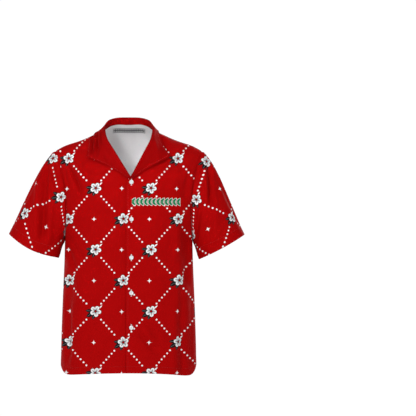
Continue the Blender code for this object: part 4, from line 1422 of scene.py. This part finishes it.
def print_cloth(name, band=None):
    """Red cloth with its print, and a garland where there is a band for it."""
    material, tree, shader = new_material(name)
    u, v, _ = cloth_place(tree)
    dot_edge, star_edge, x, y, second = dots_and_sparkles(u, v)
    colours = paint(tree, RED, WHITE, covers(calc("MAXIMUM", dot_edge, star_edge)))
    colours = flower(tree, colours, x, y, second)
    if band:
        colours = garland(tree, colours, u, v, band)
    finish_cloth(tree, shader, colours, PRINTED, RED_SHEEN)
    return material


def plain_cloth(name, colour, sheen_tint, bleed=None):
    """Woven cloth of one colour. Bleed is a second colour that shows faintly through it."""
    material, tree, shader = new_material(name)
    if bleed:
        u, v, _ = cloth_place(tree)
        dot_edge, star_edge = dots_and_sparkles(u, v)[:2]
        white_spots = covers(calc("MAXIMUM", dot_edge, star_edge), BLEED_EDGE)
        colour = paint(tree, colour, bleed, (1 - white_spots) * BLEED_SHARE)
    finish_cloth(tree, shader, colour, PLAIN, sheen_tint)
    return material


def ribbon(name, size):
    """The label's satin ribbon, with a woven line along its border and a row of lozenges."""
    material, tree, shader = new_material(name)
    u, v, place = cloth_place(tree)
    x, y = u - size[0] / 2, v - size[1] / 2
    border = calc("MINIMUM", size[0] / 2 - abs(x), size[1] / 2 - abs(y))
    line = covers(BORDER_LINE[1] - abs(border - BORDER_LINE[0]), SHARP_EDGE)
    slant = wrapped(x, LOZENGE_HALF)
    lozenge = (1 - abs(slant) / LOZENGE_HALF - abs(y) / ROW_HALF_HEIGHT) * LOZENGE_HALF
    rule = covers(RULE_HALF - abs(abs(y) - ROW_HALF_HEIGHT), SHARP_EDGE)
    row = calc("MAXIMUM", covers(lozenge + LOZENGE_GROWTH, 2 * SHARP_EDGE), rule)
    row = row * covers(ROW_HALF_LENGTH - abs(x), SHARP_EDGE)
    ink = calc("MAXIMUM", line * BORDER_STRENGTH, row) * ROW_STRENGTH
    colours = paint(tree, WHITE, BLACK, ink)
    satin = calc("SINE", v * (math.tau / SATIN_PITCH))
    shade = 1 + satin * SATIN_SHADE + speckle(tree, place, SATIN_GRAIN, 1.0) * SATIN_GRAIN_SHADE
    tree.links.new(brighten(tree, colours, shade), shader.inputs["Base Color"])
    relief = satin * SATIN_HEIGHT + weave(u, v, SATIN_WEAVE) * SATIN_WEAVE_HEIGHT
    raise_surface(tree, shader, relief, RELIEF)
    settle(shader, **SATIN_FINISH)
    return material


def thread(name, colour):
    """Twisted sewing thread."""
    material, tree, shader = new_material(name)
    places = tree.nodes.new("ShaderNodeTexCoord").outputs["Object"]
    fibre = speckle(tree, places, THREAD_GRAIN)
    tree.links.new(brighten(tree, colour, 1 + fibre * THREAD_SHADE), shader.inputs["Base Color"])
    raise_surface(tree, shader, fibre * THREAD_HEIGHT, THREAD_RELIEF)
    settle(shader, **THREAD_FINISH)
    return material


def pearl(name):
    """Pearl white polyester, with soft clouds and fine polishing marks."""
    material, tree, shader = new_material(name)
    places = tree.nodes.new("ShaderNodeTexCoord").outputs["Object"]
    clouds = speckle(tree, places, *PEARL_CLOUDS)
    bands = calc("SINE", speckle(tree, places, PEARL_GRAIN, 1.0) * PEARL_BANDS)
    colours = paint(tree, *PEARL, calc("MULTIPLY_ADD", clouds, *PEARL_CONTRAST, clamp=True))
    tree.links.new(brighten(tree, colours, 1 + bands * PEARL_BAND_SHADE), shader.inputs["Base Color"])
    relief = speckle(tree, places, POLISH_GRAIN) * POLISH_HEIGHT + bands * PEARL_BAND_HEIGHT
    raise_surface(tree, shader, relief, POLISH_RELIEF)
    settle(shader, **PEARL_FINISH)
    return material


def floor_paper(name):
    """Matt white paper that fades away with the distance from the middle of the floor."""
    material, tree, shader = new_material(name)
    places = tree.nodes.new("ShaderNodeTexCoord").outputs["Object"]
    grain = speckle(tree, places, PAPER_GRAIN, 3.0)
    colours = paint(tree, *PAPER, grain + 0.5)
    tree.links.new(colours, shader.inputs["Base Color"])
    node = tree.nodes.new("ShaderNodeVectorMath")
    node.operation = "LENGTH"
    tree.links.new(places, node.inputs[0])
    away = Field(tree, node.outputs["Value"])
    near, far = FLOOR_CLEAR
    fade = calc("MULTIPLY_ADD", away, -1 / (far - near), far / (far - near), clamp=True)
    tree.links.new(fade.socket, shader.inputs["Alpha"])
    settle(shader, **PAPER_FINISH)
    return material


# Sewing.


def inset_line(points, distance):
    """For each row, the point at a distance from the row's first one. Points may carry normals too."""
    across = travelled(points[..., :3], 1)
    line = []
    for row, reach in zip(points, across):
        line.append([np.interp(distance, reach, row[:, i]) for i in range(points.shape[-1])])
    return np.array(line)


def with_normals(grid, around=False):
    """The grid's points with their normals, six numbers each."""
    return np.concatenate([grid, grid_normals(grid, around)], -1)


def stitches_along(line, lift):
    """Starts, ends and normals of the stitches along a line of points with normals."""
    points, normals = line[:, :3], line[:, 3:]
    places = np.concatenate([[0], np.cumsum(np.linalg.norm(np.diff(points, axis=0), axis=-1))])
    count = int(places[-1] / STITCH_PITCH)
    starts = (np.arange(count) + 0.5) * places[-1] / count - STITCH_LENGTH / 2

    def at(values, where):
        return np.stack([np.interp(where, places, values[:, i]) for i in range(3)], -1)

    lifted_points = points + normals * lift
    return at(lifted_points, starts), at(lifted_points, starts + STITCH_LENGTH), at(normals, starts)


def add_threads(name, starts, ends, normals, radius, material, slot_name):
    """Short threads that rise a little between their ends, in one mesh."""
    along = unit(ends - starts)
    side = unit(np.cross(along, normals))
    up = np.cross(side, along)
    points = []
    for ring in THREAD_RINGS:
        middle = mix(starts, ends, ring.share) + up * radius * ring.rise
        for i in range(THREAD_SIDES):
            turn = math.tau * i / THREAD_SIDES
            way = side * math.cos(turn) + up * math.sin(turn)
            points.append(middle + way * radius * ring.thick)
    each = len(points)
    faces = []
    for first in range(0, each * len(starts), each):
        for ring in range(first, first + each - THREAD_SIDES, THREAD_SIDES):
            for i in range(THREAD_SIDES):
                a, b = ring + i, ring + (i + 1) % THREAD_SIDES
                faces.append((a, a + THREAD_SIDES, b + THREAD_SIDES, b))
        faces.append(tuple(first + i for i in range(THREAD_SIDES)))
        faces.append(tuple(first + each - 1 - i for i in range(THREAD_SIDES)))
    piece = add_mesh(name, np.stack(points, 1).reshape(-1, 3), faces, [material])
    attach(piece, "root")


def sew(name, lines, lift, slot_name):
    """Stitches in red thread along lines of points with normals."""
    parts = [stitches_along(line, lift) for line in lines]
    starts, ends, normals = (np.concatenate(values) for values in zip(*parts))
    add_threads(name, starts, ends, normals, STITCH_RADIUS, red_thread, slot_name)


def bar_tack(place, along, across, normal, half):
    """Short close stitches across the end of a buttonhole."""
    starts, ends = [], []
    for i in range(BAR_STITCHES):
        middle = place + along * (i - (BAR_STITCHES - 1) / 2) * HOLE_PITCH
        starts.append(middle - across * half)
        ends.append(middle + across * half)
    return starts, ends, [normal] * BAR_STITCHES


def finer_button(name):
    """A dished button with a raised rim and four holes, its back at z = 0."""
    ring = [Vector((radius, 0, height)) for radius, height in BUTTON_PROFILE]
    mesh = bmesh.new()
    verts = [mesh.verts.new(place) for place in ring]
    edges = [mesh.edges.new(pair) for pair in zip(verts, verts[1:])]
    bmesh.ops.spin(
        mesh,
        geom=verts + edges,
        axis=(0, 0, 1),
        cent=(0, 0, 0),
        angle=math.tau,
        steps=BUTTON_SIDES,
        use_duplicate=False,
    )
    bmesh.ops.remove_doubles(mesh, verts=mesh.verts, dist=TINY)
    bmesh.ops.recalc_face_normals(mesh, faces=mesh.faces)
    body = bpy.data.meshes.new(name)
    mesh.to_mesh(body)
    mesh.free()
    button = put_in_scene(name, body)
    cutters = bmesh.new()
    for x in (-HOLE_OUT, HOLE_OUT):
        for y in (-HOLE_OUT, HOLE_OUT):
            bmesh.ops.create_cone(
                cutters,
                cap_ends=True,
                segments=HOLE_SIDES,
                radius1=HOLE_RADIUS,
                radius2=HOLE_RADIUS,
                depth=CUTTER_DEPTH,
                matrix=Matrix.Translation((x, y, 0)),
            )
    cutter_mesh = bpy.data.meshes.new("holes")
    cutters.to_mesh(cutter_mesh)
    cutters.free()
    cutter = put_in_scene("holes", cutter_mesh)
    cut = button.modifiers.new("holes", "BOOLEAN")
    cut.object = cutter
    cut.operation = "DIFFERENCE"
    cut.solver = "EXACT"
    depsgraph = bpy.context.evaluated_depsgraph_get()
    done = bpy.data.meshes.new_from_object(button.evaluated_get(depsgraph))
    for thing in (button, cutter):
        bpy.data.objects.remove(thing)
    done.shade_smooth()
    done.set_sharp_from_angle(angle=BUTTON_SHARP_ANGLE)
    return done


def make_buttons(left_front):
    """Each button on its shank of thread over its buttonhole, turned a little as it was sewn."""
    tree = BVHTree.FromObject(left_front, bpy.context.evaluated_depsgraph_get())
    shape = finer_button("button_shape")
    holes, threads = ([], [], []), ([], [], [])
    for number, (height, turn) in enumerate(zip(BUTTON_HEIGHTS, BUTTON_TURNS), 1):
        place = body_points(angle_at(CENTRE_X, height), height, FRONT)
        normal = unit(body_slope(place))
        across = unit(np.cross((0, 0, 1.0), normal))
        along = np.cross(normal, across)
        back = place + normal * BUTTON_LIFT

        def on_cloth(aside, up):
            start = Vector(place + across * aside + along * up + normal * RAY_START)
            hit = tree.ray_cast(start, Vector(-normal))[0]
            return np.array(hit) + normal * THREAD_ABOVE

        count = int(BUTTONHOLE / HOLE_PITCH)
        for i in range(count + 1):
            up = (i - count / 2) * HOLE_PITCH
            for side in (-1, 1):
                holes[0].append(on_cloth(side * HOLE_SLIT, up))
                holes[1].append(on_cloth(side * HOLE_STITCH, up))
                holes[2].append(normal)
        for end in (-1, 1):
            centre = on_cloth(0, end * (BUTTONHOLE / 2 + HOLE_PITCH * 2))
            bar = bar_tack(centre, along, across, normal, HOLE_STITCH * BAR_WIDEN)
            for part, more in zip(holes, bar):
                part.extend(more)
        cos, sin = math.cos(turn), math.sin(turn)
        right, upwards = across * cos + along * sin, along * cos - across * sin
        matrix = Matrix(np.column_stack([right, upwards, normal, back]).tolist() + [[0, 0, 0, 1]])
        mesh = shape.copy()
        mesh.transform(matrix)
        mesh.materials.clear()
        mesh.materials.append(button_pearl)
        wear(put_in_scene(f"button_{number}_fine", mesh), f"button_{number}")
        dish = back + normal * (DISH_HEIGHT + STRAND_ABOVE)
        for side in (-1, 1):
            for strand in (-STRAND, STRAND):
                foot = dish + right * (side * HOLE_OUT + strand)
                threads[0].append(foot - upwards * HOLE_OUT)
                threads[1].append(foot + upwards * HOLE_OUT)
                threads[2].append(normal)
        for i in range(SHANK_STRANDS):
            angle = math.tau * i / SHANK_STRANDS
            foot = right * math.cos(angle) + upwards * math.sin(angle)
            threads[0].append(on_cloth(0, 0) + foot * SHANK[0])
            threads[1].append(back + foot * SHANK[1] + normal * SHANK_INTO)
            threads[2].append(foot)
    bpy.data.meshes.remove(shape)
    holes, threads = ([np.array(part) for part in parts] for parts in (holes, threads))
    add_threads("buttonholes", *holes, HOLE_THREAD, white_thread, "cloth")
    add_threads("button_threads", *threads, STITCH_RADIUS, white_thread, "buttons")


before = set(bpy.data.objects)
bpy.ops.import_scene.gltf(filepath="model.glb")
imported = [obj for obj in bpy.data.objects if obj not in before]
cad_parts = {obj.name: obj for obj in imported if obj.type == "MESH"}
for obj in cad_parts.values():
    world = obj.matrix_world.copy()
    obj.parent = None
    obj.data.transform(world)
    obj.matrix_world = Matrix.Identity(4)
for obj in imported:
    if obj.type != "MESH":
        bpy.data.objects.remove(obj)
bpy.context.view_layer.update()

printed_front = print_cloth("printed_front", on_print(CHEST_BAND, FRONT_CROSSING, 0))
printed_back = print_cloth("printed_back", on_print(BACK_BAND, BACK_CROSSING, BACK_SHIFT))
printed_plain = print_cloth("printed_sleeve")
inside = plain_cloth("cloth_inside", INSIDE, WHITE_SHEEN, SHOW_THROUGH)
# The collar's cloth: the shirt's red painted darker, as painted shade.
collar_red = plain_cloth("collar_red", COLLAR_SHADED_RED, RED_SHEEN)
label_white = ribbon("label_ribbon", LABEL_SIZE)
red_thread = thread("red_thread", THREAD_RED)
white_thread = thread("white_thread", THREAD_WHITE)
button_pearl = pearl("button_pearl")

left_base, right_base, left_done, right_done, left_piece = make_fronts()
back_base, back_done = make_back()
sleeves = [
    make_sleeve("left_sleeve", left_done, back_done[:, ::-1]),
    make_sleeve("right_sleeve", right_done, back_done[:, ::-1]),
]
collar_done = make_collar(left_base, right_base, back_base)
make_label(back_base)
make_buttons(left_piece)

hem_row = HEM_STEPS.index(HEM_STITCH)
sewing = [with_normals(grid)[hem_row] for grid in (left_done, right_done, back_done)]
sewing += [with_normals(grid, around=True)[hem_row] for grid in sleeves]
sewing.append(inset_line(with_normals(left_done)[:NECK_ROW], FRONT_STITCH))
for grid in (left_done, right_done):
    sewing.append(inset_line(with_normals(grid)[::-1].swapaxes(0, 1), SHOULDER_STITCH))
sew("seam_stitching", sewing, CLOTH / 2, "cloth")
collar_edge = inset_line(with_normals(collar_done)[:, ::-1], COLLAR_STITCH)
sew("collar_stitching", [collar_edge], COLLAR_CLOTH / 2, "collar_cloth")

# The camera looks from the photograph's angle, a long way off.
camera = put_in_scene("camera", bpy.data.cameras.new("camera"))
bpy.context.scene.camera = camera
camera.location = (0, -CAMERA_AWAY, SHIRT_MIDDLE_Z)
target = Vector((PICTURE_CENTRE[0], 0, PICTURE_CENTRE[1]))
camera.rotation_euler = (target - camera.location).to_track_quat("-Z", "Y").to_euler()
camera.data.sensor_width = 36.0
camera.data.lens = camera.data.sensor_width * CAMERA_AWAY / (PIXEL * FRAME_PIXELS)
camera.data.clip_end = 50


def add_floor():
    """A round floor, its origin in its middle."""
    angles = [math.tau * i / FLOOR_SIDES for i in range(FLOOR_SIDES)]
    verts, faces = [], []
    for ring in range(1, FLOOR_RINGS + 1):
        radius = FLOOR_RADIUS * ring / FLOOR_RINGS
        verts += [(radius * math.cos(angle), radius * math.sin(angle), 0.0) for angle in angles]
    verts.append((0.0, 0.0, 0.0))
    for i in range(FLOOR_SIDES):
        after = (i + 1) % FLOOR_SIDES
        faces.append((len(verts) - 1, i, after))
        for low in range(0, FLOOR_SIDES * (FLOOR_RINGS - 1), FLOOR_SIDES):
            high = low + FLOOR_SIDES
            faces.append((low + i, high + i, high + after, low + after))
    floor = add_mesh("floor", verts, faces, [floor_paper("floor_paper")])
    floor.location.z = FLOOR_Z


def add_light(lamp):
    """A round lamp that faces its aim."""
    light = put_in_scene(lamp.name, bpy.data.lights.new(lamp.name, "AREA"))
    light.data.shape = "DISK"
    light.data.size = lamp.size
    light.data.energy = lamp.energy
    light.data.spread = lamp.spread
    light.location = lamp.place
    light.rotation_euler = (Vector(lamp.aim) - Vector(lamp.place)).to_track_quat("-Z", "Y").to_euler()


def light_room():
    """Even soft light from all round, and a white band round the horizon."""
    world = bpy.data.worlds.new("studio")
    bpy.context.scene.world = world
    world.use_nodes = True
    tree = world.node_tree
    room = tree.nodes["Background"]
    room.inputs["Color"].default_value = ROOM_COLOUR
    parts = tree.nodes.new("ShaderNodeSeparateXYZ")
    tree.links.new(tree.nodes.new("ShaderNodeTexCoord").outputs["Generated"], parts.inputs[0])
    rise = Field(tree, parts.outputs["Z"])
    low, high, soft = HORIZON_BAND
    under = calc("MULTIPLY_ADD", rise, -1 / soft, high / soft, clamp=True)
    over = calc("MULTIPLY_ADD", rise, 1 / soft, -low / soft, clamp=True)
    strength = calc("MULTIPLY_ADD", under * over, HORIZON_LIGHT - SOFT_LIGHT, SOFT_LIGHT)
    tree.links.new(strength.socket, room.inputs["Strength"])


add_floor()
for lamp in LAMPS:
    add_light(lamp)
light_room()
bpy.context.scene.view_settings.view_transform = "Standard"
